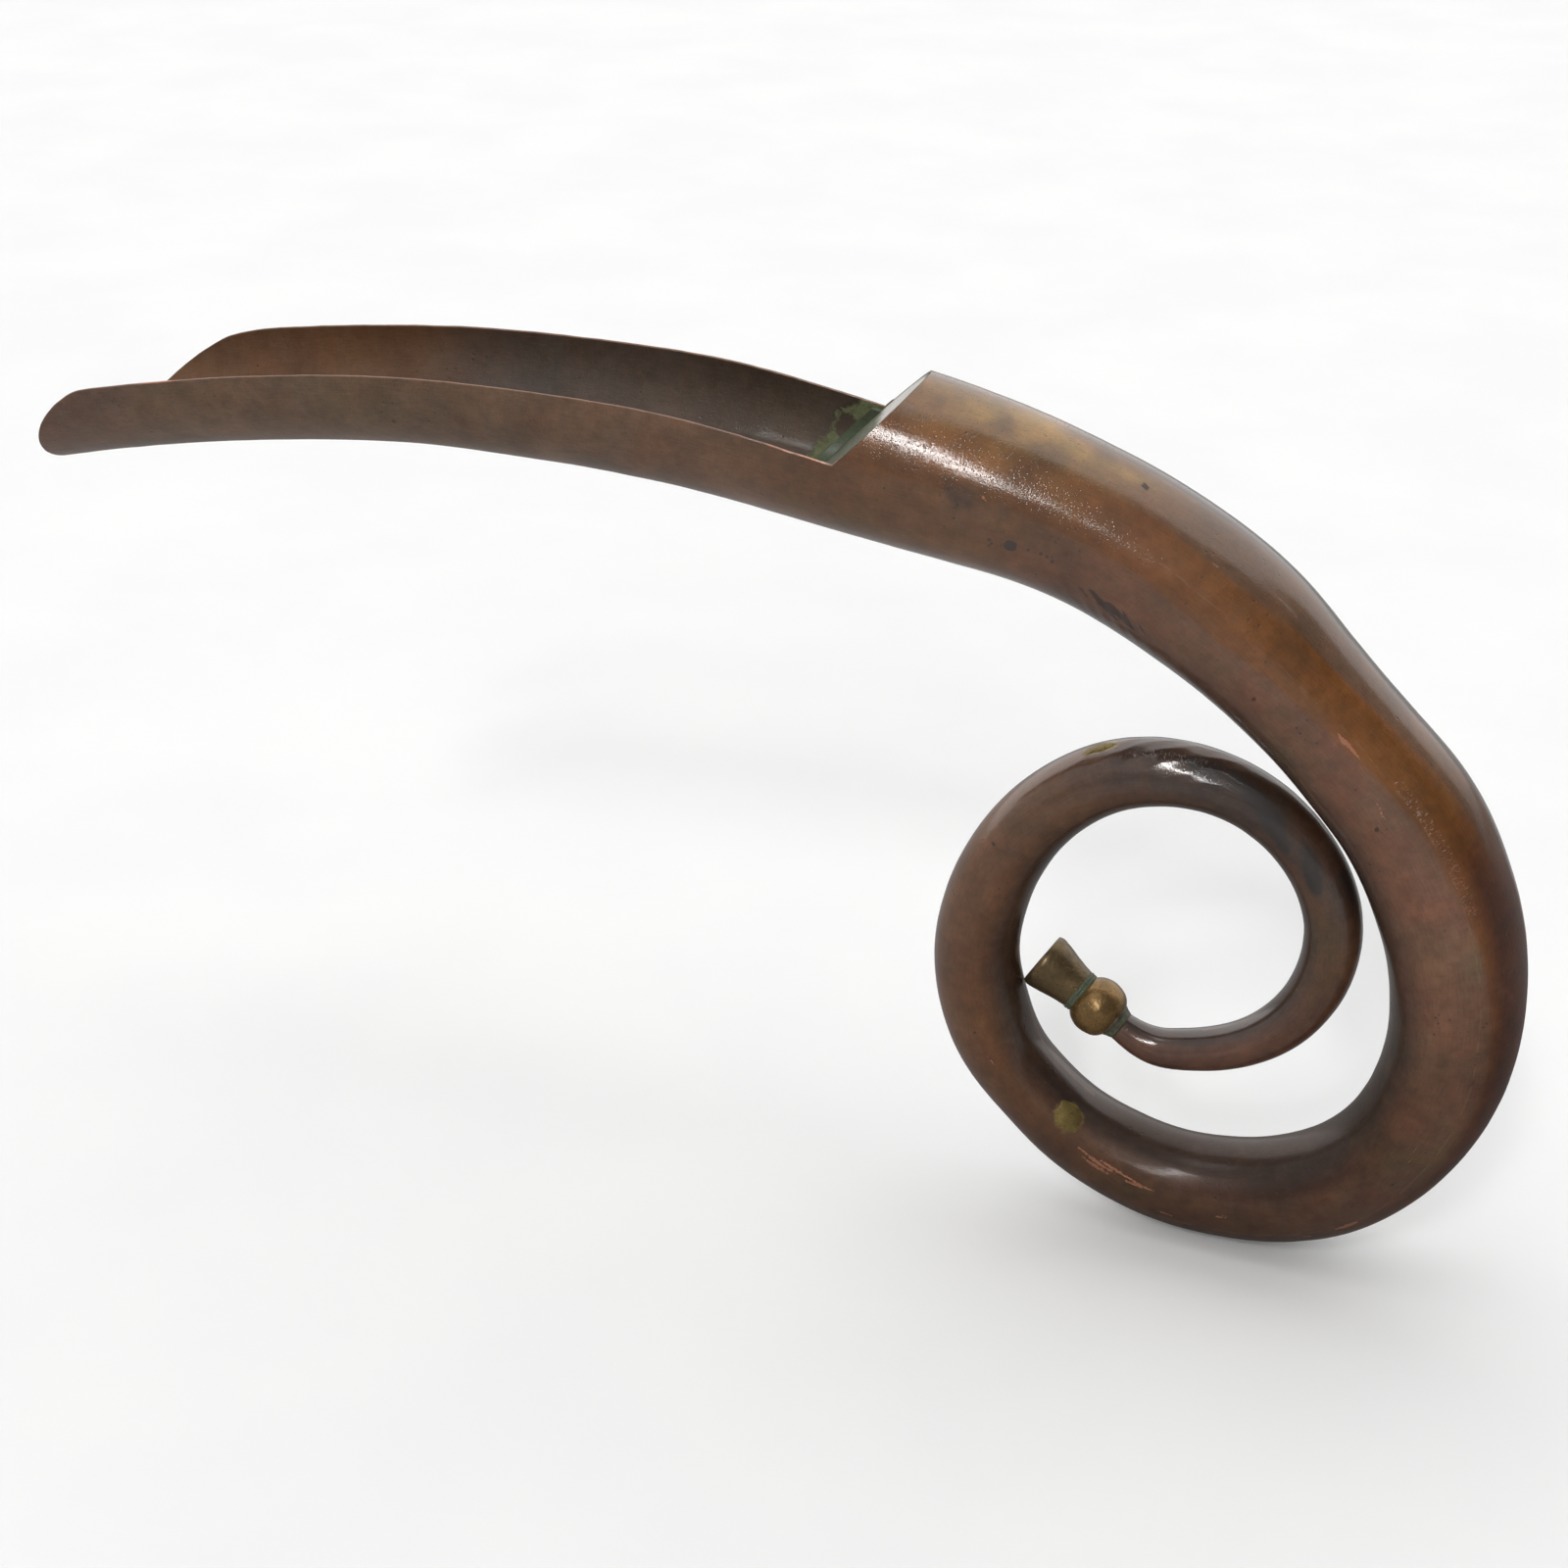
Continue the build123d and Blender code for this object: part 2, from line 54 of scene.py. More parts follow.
# ---------------------------------------------------------------- measured design, millimetres
# Centre line of the horn: arc length, x, z, radius
LINE = np.array([
    (0.0, -229.50, 232.41, 29.70), (11.2, -218.40, 233.92, 28.61), (22.4, -207.29, 235.41, 27.60),
    (33.1, -196.67, 236.81, 26.76), (44.3, -185.55, 238.24, 26.01), (55.1, -174.92, 239.57, 25.42),
    (66.3, -163.80, 240.92, 24.92), (77.5, -152.66, 242.21, 24.53), (88.2, -142.01, 243.38, 24.25),
    (99.4, -130.86, 244.52, 24.04), (110.1, -120.19, 245.50, 23.91), (121.3, -109.02, 246.35, 23.84),
    (132.0, -98.32, 246.93, 23.83), (143.2, -87.12, 247.27, 23.85), (154.4, -75.91, 247.38, 23.92),
    (165.2, -65.20, 247.33, 24.00), (176.4, -53.99, 247.15, 24.10), (187.1, -43.28, 246.88, 24.19),
    (198.3, -32.08, 246.41, 24.29), (209.5, -20.91, 245.64, 24.36), (220.2, -10.24, 244.55, 24.40),
    (231.4, 0.86, 243.05, 24.41), (242.1, 11.44, 241.36, 24.37), (253.3, 22.49, 239.46, 24.27),
    (264.0, 33.04, 237.61, 24.12), (275.3, 44.08, 235.66, 23.88), (286.5, 55.09, 233.60, 23.50),
    (297.2, 65.59, 231.45, 22.96), (308.4, 76.50, 228.89, 22.23), (319.1, 86.80, 225.94, 21.60),
    (330.3, 97.34, 222.14, 21.20), (341.0, 107.15, 217.83, 21.06), (352.2, 117.09, 212.66, 21.01),
    (363.4, 126.76, 207.00, 20.84), (374.1, 135.62, 200.98, 20.44), (385.4, 144.34, 193.95, 19.74),
    (396.1, 152.28, 186.75, 19.01), (407.3, 160.41, 179.04, 18.52), (418.5, 168.37, 171.16, 18.50),
    (429.2, 175.84, 163.47, 18.81), (440.4, 183.41, 155.21, 19.16), (451.1, 189.70, 146.54, 19.33),
    (462.3, 195.08, 136.72, 19.30), (473.0, 199.40, 126.91, 19.15), (484.2, 203.05, 116.32, 18.90),
    (495.5, 205.54, 105.41, 18.58), (506.2, 206.89, 94.78, 18.24), (517.4, 207.23, 83.58, 17.90),
    (528.1, 206.25, 72.92, 17.57), (539.3, 203.83, 61.99, 17.16), (550.0, 200.18, 51.92, 16.74),
    (561.2, 194.91, 42.04, 16.41), (572.4, 188.03, 33.21, 16.29), (583.1, 180.02, 26.13, 16.23),
    (594.3, 170.25, 20.67, 15.99), (605.1, 160.12, 17.21, 15.56), (616.3, 149.08, 15.41, 15.04),
    (627.5, 137.88, 15.02, 14.63), (638.2, 127.28, 16.45, 14.28), (649.4, 116.58, 19.76, 13.86),
    (660.1, 106.84, 24.20, 13.39), (671.3, 97.56, 30.45, 12.92), (682.0, 89.66, 37.68, 12.66),
    (693.2, 82.04, 45.93, 12.67), (704.4, 76.10, 55.50, 13.08), (715.2, 72.28, 65.69, 13.17),
    (726.4, 69.73, 76.72, 12.88), (737.1, 69.14, 87.50, 12.56), (748.3, 70.59, 98.65, 12.26),
    (759.0, 73.28, 109.01, 11.84), (770.2, 77.51, 119.38, 11.42), (781.4, 83.13, 129.06, 11.00),
    (792.1, 89.91, 137.35, 10.67), (803.3, 98.36, 144.68, 10.38), (814.1, 107.71, 149.87, 10.09),
    (825.3, 118.51, 152.74, 9.67), (836.5, 129.71, 152.94, 9.20), (847.2, 140.20, 150.58, 8.77),
    (858.4, 150.22, 145.45, 8.42), (869.1, 158.36, 138.38, 8.24), (880.3, 165.05, 129.32, 8.15),
    (891.0, 169.35, 119.42, 8.10), (902.2, 171.08, 108.26, 8.02), (913.4, 169.91, 97.02, 7.87),
    (924.2, 166.37, 86.78, 7.66), (935.4, 160.29, 77.23, 7.35), (946.1, 152.31, 69.91, 6.98),
    (957.3, 142.30, 64.70, 6.55), (968.0, 131.89, 61.89, 6.14), (973.9, 126.03, 61.25, 5.80),
    (980.7, 119.41, 62.82, 5.15), (987.3, 113.61, 66.15, 4.45),
])
TIP_X = -225.5
# Edges of the trough: x, near (-Y) edge, far (+Y) edge, in degrees from the bottom
EDGE = np.array([
    (TIP_X, 0.0, 0.0), (-224.8, 29.7, 4.0), (-222.7, 44.9, 11.9), (-219.1, 57.7, 22.6),
    (-213.9, 69.1, 35.9), (-207.3, 78.9, 49.9), (-199.2, 86.0, 63.6), (-189.6, 87.4, 76.0),
    (-178.4, 89.0, 85.9), (-165.8, 90.5, 90.3), (-151.7, 92.0, 92.0), (-109.7, 94.8, 94.8),
    (-64.9, 96.6, 96.6), (-20.1, 97.1, 97.1), (24.7, 95.3, 95.3), (69.5, 91.4, 91.4),
])
WALL = 1.0
JOINT_LOW, JOINT_UP, TUBE_STOP = 668.3, 810.7, LINE[-1, 0]  # arcs
MOUTH_X, MOUTH_Z = 29.6, 240.0  # a point on the oblique cut that ends the trough
SLOPE = math.radians(45.5)      # slope of that cut
BELL_SEAM_ANGLE, COIL_SEAM_ANGLE = 65.0, 180.0
COLUMNS = 145                   # points round each section


# ---------------------------------------------------------------- curves
def natural_spline(x, y):
    """Second derivatives, at the points, of the natural cubic spline through them."""
    count = len(x)
    gap_x = np.diff(x)
    matrix = np.zeros((count, count))
    target = np.zeros(count)
    matrix[0, 0] = matrix[-1, -1] = 1.0
    for i in range(1, count - 1):
        before, after = gap_x[i - 1], gap_x[i]
        matrix[i, i - 1], matrix[i, i], matrix[i, i + 1] = before, 2 * (before + after), after
        target[i] = 6 * ((y[i + 1] - y[i]) / after - (y[i] - y[i - 1]) / before)
    return np.linalg.solve(matrix, target)


def spline_at(x, y, bend, at):
    """Value and slope of the spline; bend is what natural_spline gives."""
    i = np.clip(np.searchsorted(x, at) - 1, 0, len(x) - 2)
    h = x[i + 1] - x[i]
    u, v = (x[i + 1] - at) / h, (at - x[i]) / h
    curve = (u ** 3 - u) * bend[i] + (v ** 3 - v) * bend[i + 1]
    value = u * y[i] + v * y[i + 1] + curve * h * h / 6
    turn = -(3 * u ** 2 - 1) * bend[i] + (3 * v ** 2 - 1) * bend[i + 1]
    return value, (y[i + 1] - y[i]) / h + turn * h / 6


def monotone(x, y, at):
    """Interpolation through the points that never overshoots."""
    h, rise = np.diff(x), np.diff(y) / np.diff(x)
    slope = np.zeros(len(x))
    for i in range(1, len(x) - 1):
        if rise[i - 1] * rise[i] > 0:
            w1, w2 = 2 * h[i] + h[i - 1], h[i] + 2 * h[i - 1]
            slope[i] = (w1 + w2) / (w1 / rise[i - 1] + w2 / rise[i])
    slope[0], slope[-1] = rise[0], rise[-1]
    i = np.clip(np.searchsorted(x, at) - 1, 0, len(x) - 2)
    u = (at - x[i]) / h[i]
    return ((1 + 2 * u) * (1 - u) ** 2 * y[i] + u * (1 - u) ** 2 * h[i] * slope[i]
            + u * u * (3 - 2 * u) * y[i + 1] + u * u * (u - 1) * h[i] * slope[i + 1])


LINE_BENDS = [natural_spline(LINE[:, 0], LINE[:, k]) for k in (1, 2, 3)]


def line_at(arc):
    """Centre x and z, radius, and unit tangent x and z of the horn at an arc."""
    arc = np.asarray(arc, float)
    (x, dx), (z, dz), (radius, _) = (
        spline_at(LINE[:, 0], LINE[:, k + 1], LINE_BENDS[k], arc) for k in range(3))
    length = np.hypot(dx, dz)
    return x, z, radius, dx / length, dz / length


def arc_of_x(x):
    """Arc where the trough's centre line has this x."""
    arcs = np.linspace(0, 340, 6801)
    return np.interp(x, line_at(arcs)[0], arcs)


# ---------------------------------------------------------------- smooth noise and blending
NOISE_TABLE = np.random.default_rng(71).random((64, 64, 64)).astype(np.float32)


def value_noise(points):
    """Smooth noise from -1 to 1, one lattice step per unit."""
    cell = np.floor(points).astype(int)
    f = points - cell
    f = f * f * (3 - 2 * f)
    out = np.zeros(points.shape[:-1])
    for corner in np.ndindex(2, 2, 2):
        wx, wy, wz = (f[..., k] if corner[k] else 1 - f[..., k] for k in range(3))
        where = tuple((cell[..., k] + corner[k]) & 63 for k in range(3))
        out = out + wx * wy * wz * NOISE_TABLE[where]
    return out * 2 - 1


def fbm(points, octaves):
    """Noise summed over octaves of falling weight."""
    total, weight, out = 0.0, 1.0, 0.0
    for k in range(octaves):
        out = out + weight * value_noise(points * 2.03 ** k + 17.7 * k)
        total += weight
        weight *= 0.52
    return out / total


def ease(x, start, end):
    """Smoothly 0 at start to 1 at end; start may be the larger."""
    t = np.clip((x - start) / (end - start), 0, 1)
    return t * t * (3 - 2 * t)


def keyed(x, pairs):
    """Straight-line interpolation through (x, value) pairs."""
    return np.interp(x, *zip(*pairs))


def srgb(*rgb):
    """Linear colour of an sRGB colour given from 0 to 255."""
    c = np.array(rgb, float) / 255
    return np.where(c <= 0.04045, c / 12.92, ((c + 0.055) / 1.055) ** 2.4)


def mix(a, b, amount):
    return a + (b - a) * np.asarray(amount)[..., None]


def layered(colour, *layers):
    """Lays tints over a colour; a layer is (sRGB tint, strength, where)."""
    for tint, strength, where in layers:
        colour = mix(colour, srgb(*tint), strength * where)
    return colour


# ---------------------------------------------------------------- places on the tube
def surface_point(arc, angle, radius):
    """Points on the tube; angle is 0 outside the bend (trough top) and 90 at the front."""
    x, z, _, tx, tz = line_at(arc)
    cos, sin = np.cos(np.radians(angle)), np.sin(np.radians(angle))
    return np.stack([x - radius * cos * tz, -radius * sin, z + radius * cos * tx], -1)


def gap(angle, centre):
    """Signed angle from centre, -180 to 180."""
    return (angle - centre + 180.0) % 360.0 - 180.0


class Place:
    """Many places on the tube: arc, angle in degrees, radius, and the point of each."""

    def __init__(self, arc, angle, radius, point=None):
        self.arc, self.angle, self.radius = arc, angle, radius
        self.point = surface_point(arc, angle, radius) if point is None else point

    def part(self, rows=slice(None), columns=slice(None)):
        """A flattened part of a grid of places."""
        grids = (self.arc, self.angle, self.radius)
        flat = [grid[rows, columns].ravel() for grid in grids]
        return Place(*flat, self.point[rows, columns].reshape(-1, 3))

    def raised(self, height):
        return surface_point(self.arc, self.angle, self.radius + height)

    def run(self):
        """The tube rolled out straight: arc and the two section directions."""
        angle = np.radians(self.angle)
        return np.stack([self.arc, self.radius * np.cos(angle), self.radius * np.sin(angle)], -1)

    def rise(self, start, end):
        """0 to 1 between two arcs."""
        return ease(self.arc, start, end)

    def across(self, angle):
        """Signed distance round the tube from an angle."""
        return np.radians(gap(self.angle, angle)) * self.radius

    def spot(self, arc, angle, length, width, turn=0.0):
        """Soft ellipse; length and width are half sizes, turn is in degrees."""
        a, b = self.arc - arc, self.across(angle)
        if turn:
            cos, sin = math.cos(math.radians(turn)), math.sin(math.radians(turn))
            a, b = a * cos + b * sin, -a * sin + b * cos
        return np.exp(-(a / length) ** 2 - (b / width) ** 2)

    def spots(self, rows):
        """Sum of spots: (weight, arc, angle, half length, half width, optional turn)."""
        return sum(weight * self.spot(*shape) for weight, *shape in rows)

    def stroke(self, arc0, angle0, arc1, angle1):
        """Fraction along a straight stroke and distance from it."""
        dx, dy = arc1 - arc0, np.radians(angle1 - angle0) * self.radius
        px, py = self.arc - arc0, self.across(angle0)
        along = np.clip((px * dx + py * dy) / (dx * dx + dy * dy), 0, 1)
        return along, np.hypot(px - along * dx, py - along * dy)


# ---------------------------------------------------------------- where the trough is cut
def trough_edges(x):
    """Near and far trough edge at x; the square root lets the tip start steeply."""
    keys, root = np.sqrt(EDGE[:, 0] - TIP_X), np.sqrt(np.clip(x - TIP_X, 0, None))
    return monotone(keys, EDGE[:, 1], root), monotone(keys, EDGE[:, 2], root)


def edge_angles(arc):
    """Both edges with the oblique cut applied, and True where the tube is closed."""
    x, z, radius, tx, tz = line_at(arc)
    near, far = trough_edges(x)
    plane_x, plane_z = -math.sin(SLOPE), math.cos(SLOPE)
    distance = plane_x * (x - MOUTH_X) + plane_z * (z - MOUTH_Z)
    c = np.clip(distance / (radius * (plane_x * (-tz) + plane_z * tx)), -1, 1)
    cut = np.where(x > MOUTH_X - 12, np.degrees(np.arccos(c)), 0.0)
    return np.maximum(near, cut), np.maximum(far, cut), c <= -1


def cut_ends():
    """Arcs where the oblique cut starts and where it closes the tube."""
    arcs = np.linspace(255, 330, 15001)
    near, _, closed = edge_angles(arcs)
    lift = near - trough_edges(line_at(arcs)[0])[0]
    return float(arcs[np.argmax(lift > 1e-6)]), float(arcs[np.argmax(closed)])


ARC_MOUTH, ARC_APEX = cut_ends()


def row_arcs():
    """Arcs of the sections, closer together where the outline turns quickly."""
    tip = arc_of_x(TIP_X + np.linspace(0.12, 6.2, 44) ** 2)
    return np.concatenate([
        tip,
        np.arange(tip[-1] + 1.4, ARC_MOUTH - 0.6, 1.45),
        np.linspace(ARC_MOUTH, ARC_APEX - 4.0, 26),
        ARC_APEX - np.linspace(2.0, 0.0, 16)[1:] ** 2,
        np.arange(ARC_APEX + 1.2, JOINT_LOW - 0.5, 1.42),
        np.arange(JOINT_LOW, JOINT_UP - 0.5, 1.1),
        np.append(np.arange(JOINT_UP, TUBE_STOP - 0.4, 0.85), TUBE_STOP),
    ])


# ---------------------------------------------------------------- hand-worked surface
# Shallow dents: depth, arc, angle, half length, half width
DENTS = (
    (0.22, 462, 8, 9, 6), (0.25, 396, 20, 11, 7), (0.2, 350, 15, 8, 9), (0.14, 596, 112, 8, 5),
    (0.12, 640, 70, 7, 5), (0.12, 720, 60, 9, 4), (0.18, 180, 150, 14, 8), (0.15, 96, 130, 12, 9),
    (0.1, 905, 60, 5, 3), (0.14, 520, 95, 12, 8), (0.16, 233, 128, 10, 7),
)
# Bruises on the near edge of the trough: arc, half size, height
BRUISES = ((248, 2.2, 0.35), (241, 1.4, -0.25), (236, 1.2, 0.2), (192, 1.0, 0.12),
           (86, 1.6, 0.14), (60, 2.0, -0.12))


def unevenness(at):
    """Height of the hand-worked sheet above the true tube."""
    arc, angle, point = at.arc, at.angle, at.point
    # broad, small and lengthwise waves
    h = 0.10 * fbm(point / 26.0, 3) + 0.035 * fbm(point / 7.0 + 5.0, 3)
    h = h + 0.05 * value_noise(at.run() / (5.5, 30, 30))
    # planished facets on top of the inner coil
    facets = at.spot(arc=828, angle=32, length=19, width=7.5)
    phase = (arc - 806 + 0.35 * angle) / 3.1 + 0.8 * value_noise(point / 4.0)
    h = h - 0.20 * facets * np.abs(np.sin(phase))
    # bending wrinkles, 5 mm apart, on the inside of the first bend
    wrinkled = at.spot(arc=345, angle=112, length=17, width=8.5)
    phase = (arc - 0.32 * angle) * 2 * math.pi / 5.0 + 0.9 * value_noise(point / 9.0)
    h = h + 0.10 * wrinkled * np.sin(phase)
    # stretched flat along the front of the first bend
    h = h - 0.10 * at.spot(arc=318, angle=66, length=40, width=4.0)
    # the trough floor sits a little low, the outer flank of the first bend a little full
    trough_floor = np.exp(-(gap(angle, 180.0) / 58.0) ** 4)
    h = h + 0.22 * trough_floor * at.rise(140, 172) * at.rise(348, 322)
    flank = np.exp(-(gap(angle, -15.0) / 44.0) ** 4)
    h = h + 0.26 * flank * at.rise(318, 338) * at.rise(400, 378)
    return h - at.spots(DENTS)


def lip(at):
    """Bruises along the cut edge of the trough."""
    near = np.exp(-(gap(at.angle, 85.0) / 9.0) ** 2)
    return sum(height * np.exp(-((at.arc - arc) / size) ** 2) * near
               for arc, size, height in BRUISES)


def outward_normals(points, arcs, closed):
    """Unit normals of a grid of points, away from the centre line."""
    along = np.gradient(points, axis=0)
    around = np.gradient(points, axis=1)
    wrap = points[:, 1] - points[:, -2]
    around[closed, 0] = wrap[closed]
    around[closed, -1] = wrap[closed]
    normals = np.cross(around, along)
    normals /= np.maximum(np.linalg.norm(normals, axis=-1, keepdims=True), 1e-12)
    x, z = line_at(arcs)[:2]
    centre = np.stack([x, 0 * x, z], -1)[:, None, :]
    inwards = np.mean(np.sum(normals * (points - centre), -1)) < 0
    return -normals if inwards else normals


def tube_places(arcs, closed):
    """Grid of places over the whole horn, each row from the far edge under to the near edge."""
    near, far, _ = edge_angles(arcs)
    near, far = np.where(closed, 180.0, near), np.where(closed, 180.0, far)
    share = np.linspace(0, 1, COLUMNS)
    from_bottom = -far[:, None] + (near + far)[:, None] * share[None, :]
    radius = np.repeat(line_at(arcs)[2][:, None], COLUMNS, 1)
    return Place(np.repeat(arcs[:, None], COLUMNS, 1), 180.0 - from_bottom, radius)


ROWS = row_arcs()
CLOSED = ROWS >= ARC_APEX - 1e-6
TUBE = tube_places(ROWS, CLOSED)
# the unevenness fades out at the narrow end
OUTER = TUBE.raised((unevenness(TUBE) + lip(TUBE)) * TUBE.rise(989, 975))
NORMAL = outward_normals(OUTER, ROWS, CLOSED)


# ---------------------------------------------------------------- colour and wear on the tube
# Where the verdigris inside the trough starts: angle, arc
VERDIGRIS_START = ((90, 250), (160, 246), (200, 242.5), (236, 242), (250, 244.5), (266, 248),
                   (280, 253))
# Upper edge of the orange band, a painted reflection band: arc, angle
ORANGE_EDGE = ((262, 46), (282, 40), (292, 37), (330, 39), (342, 39), (356, 43), (373, 44),
               (403, 36), (428, 29), (455, 27), (480, 20), (540, 10))
# Brightness of each length, partly painted shade in the dip at arcs 590 to 640 under the coil: arc,
# factor
BRIGHTNESS = (
    (0, 0.80), (120, 0.78), (250, 0.80), (330, 0.84), (420, 0.88), (500, 0.88), (545, 0.72),
    (590, 0.50), (640, 0.56), (680, 0.70), (740, 0.78), (800, 0.78), (850, 0.68), (900, 0.66),
    (960, 0.72), (990, 0.70),
)
# Spots: weight, arc, angle, half length, half width, turn
GOLD = ((1, 301, 13, 9, 6), (1, 317, 17, 4.5, 3.6), (0.8, 332, 14, 6, 2.4))
SOFT_LIGHT = ((1, 473, 106, 42, 17), (1.1, 306, 126, 34, 9))
DARK_COIL = ((1, 826, 50, 26, 12), (0.8, 856, 72, 24, 9), (0.8, 883, 20, 12, 7))
BLUE = ((0.8, 838, 50, 9, 4, 20), (1.1, 857, 70, 15, 3.4, 22), (1.1, 876, 80, 9, 2.8, 20),
        (0.7, 884, 22, 8, 4))
BRASS = ((1.2, 671.8, 127, 5.2, 4.6), (1.1, 812.1, 6, 4.6, 3.0))


def paint_inside(at):
    """Colour, wear (tarnish, pitting, polish) and verdigris inside the trough."""
    arc, angle = at.arc, at.angle
    broad, fine = fbm(at.point / 31.0, 4), fbm(at.point / 9.0 + 3.0, 4)
    warm = at.arc + 25 * broad
    colour = layered(
        np.zeros(arc.shape + (3,)) + srgb(96, 70, 50),
        ((80, 66, 56), 1.0, ease(warm, 120, 190)),
        ((104, 70, 42), 0.7, ease(warm, 150, 90) * ease(angle % 360, 200, 262)),
        ((70, 66, 64), 0.7, at.spot(arc=150, angle=225, length=26, width=26)),
        ((66, 54, 44), 0.6, ease(arc + 20 * fine, 170, 240)),
    )
    # mottling, overall gain, and a lift towards the plate
    mottle = (1 + 0.16 * broad + 0.14 * fine)[..., None]
    lift = (1 + 0.16 * at.rise(150, 190) - 0.12)[..., None]
    colour = colour * mottle * np.array([1.42, 1.42, 1.40]) * lift
    start = keyed(angle, VERDIGRIS_START) + 2.2 * fine
    green = ease(arc, start - 2.0, start + 3.5)
    # oval ring stain on the far wall of the trough, by the plate: half sizes 4.4 and 5.2
    round_wall = np.radians(gap(angle, 254.0)) * (at.radius - WALL)
    oval = np.hypot((arc - 251.0) / 4.4, round_wall / 5.2)
    ring = np.exp(-((oval - 1.0 + 0.1 * fine) / 0.20) ** 2)
    green = np.maximum(green * (1 - 0.72 * np.exp(-(oval / 0.72) ** 4)), ring)
    green = np.clip(green * (0.82 + 0.35 * broad), 0, 1)
    colour = layered(colour, ((66, 62, 52), 0.7, green))
    wear = np.stack([0.45 + 0.35 * broad, 0.5 + 0.4 * fine, 0.05 + 0.1 * broad], -1)
    return colour, wear, green


def bend_colour(at, colour, fine):
    """Orange band and rosy grey outer flank, painted reflection bands in the copper's own colours,
    and gold mottling that is partly a painted warm reflection.
    """
    # painted reflection bands: the orange band, and above it the rosy grey flank
    edge = keyed(at.arc, ORANGE_EDGE) + 1.2 * fine
    orange_reflection_band = ease(at.angle, edge - 1.5, edge + 1.5) * ease(at.angle, edge + 43, edge + 37)
    flank = ease(at.angle, edge + 1.5, edge - 2)
    colour = layered(
        colour,
        ((126, 76, 34), 0.92, orange_reflection_band * at.rise(255, 275) * at.rise(700, 570)),
        ((132, 84, 34), 0.7, orange_reflection_band * at.rise(335, 360) * at.rise(470, 440)),
        ((128, 92, 64), 0.8, flank * at.rise(255, 300) * at.rise(640, 520)),
    )
    # the painted flank reflection is darker between arcs 335 and 470
    colour = colour * (1 - 0.26 * flank * at.rise(335, 356) * at.rise(470, 436))[..., None]
    # gold mottling on top of the tube, partly a painted warm reflection
    gold_and_warm_reflection = 0.55 * at.spot(arc=297, angle=3, length=34, width=19) * (0.9 + 0.9 * fine)
    gold_and_warm_reflection = gold_and_warm_reflection + at.spots(GOLD) * (0.75 + 1.2 * fine)
    return layered(colour, ((186, 150, 82), 0.8, np.clip(gold_and_warm_reflection, 0, 1)))


def trough_colour(at, colour, broad, fine, cloud):
    """Grey brown trough with dark stains, redder at the tip, a painted floor reflection in lighter
    grey underneath, and smears beside the plate.
    """
    trough = at.rise(250, 180)
    under = ease(np.abs(at.angle), 120, 165)
    beside_plate = at.spot(arc=288, angle=86, length=42, width=26)
    dark_smear = (at.spot(arc=300, angle=80, length=26, width=4.5, turn=8)
                  * ease(fine + 0.5 * cloud, -0.15, 0.35))
    light_smear = (at.spot(arc=312, angle=92, length=30, width=3.0, turn=6)
                   * ease(cloud - 0.4 * fine, -0.1, 0.3))
    return layered(
        colour,
        ((108, 86, 68), 0.6, trough),
        ((84, 70, 58), 0.55, trough * ease(broad, 0.05, 0.6)),
        ((118, 86, 76), 0.5, at.rise(70, 20)),
        # painted reflection of the pale floor: lighter grey on the underside
        ((112, 92, 84), 0.4, under * at.rise(120, 200) * at.rise(320, 280)),
        ((112, 74, 36), 0.9, beside_plate * (0.75 + 0.6 * cloud)),
        ((66, 48, 36), 0.9, np.clip(dark_smear, 0, 1)),
        ((164, 112, 58), 0.75, np.clip(light_smear, 0, 1)),
    )


def shade_colour(at, colour, fine):
    """Dark lengths: the shaded front, the inside of the bends and the top of the coil."""
    angle = at.angle
    front = at.rise(440, 470) * at.rise(585, 540) * ease(angle, -6, 6) * ease(angle, 66, 40)
    bottom_bend = (at.rise(550, 585) * at.rise(650, 615)
                   * ease(angle, 104, 124) * ease(angle, 170, 146))
    inner = ease(np.abs(angle), 100, 146) * at.rise(300, 345)
    right_inner = at.rise(470, 500) * at.rise(560, 520) * ease(np.abs(angle), 128, 150)
    dark = np.clip(at.spots(DARK_COIL) * (1 + 0.8 * fine), 0, 1)
    return layered(
        colour,
        ((72, 34, 15), 0.9, front),
        ((66, 34, 16), 0.85, bottom_bend),
        ((44, 34, 28), 0.82, inner * (0.9 + 0.2 * fine)),
        ((92, 76, 62), 0.4, right_inner),
        ((54, 42, 38), 0.8, dark),
    )


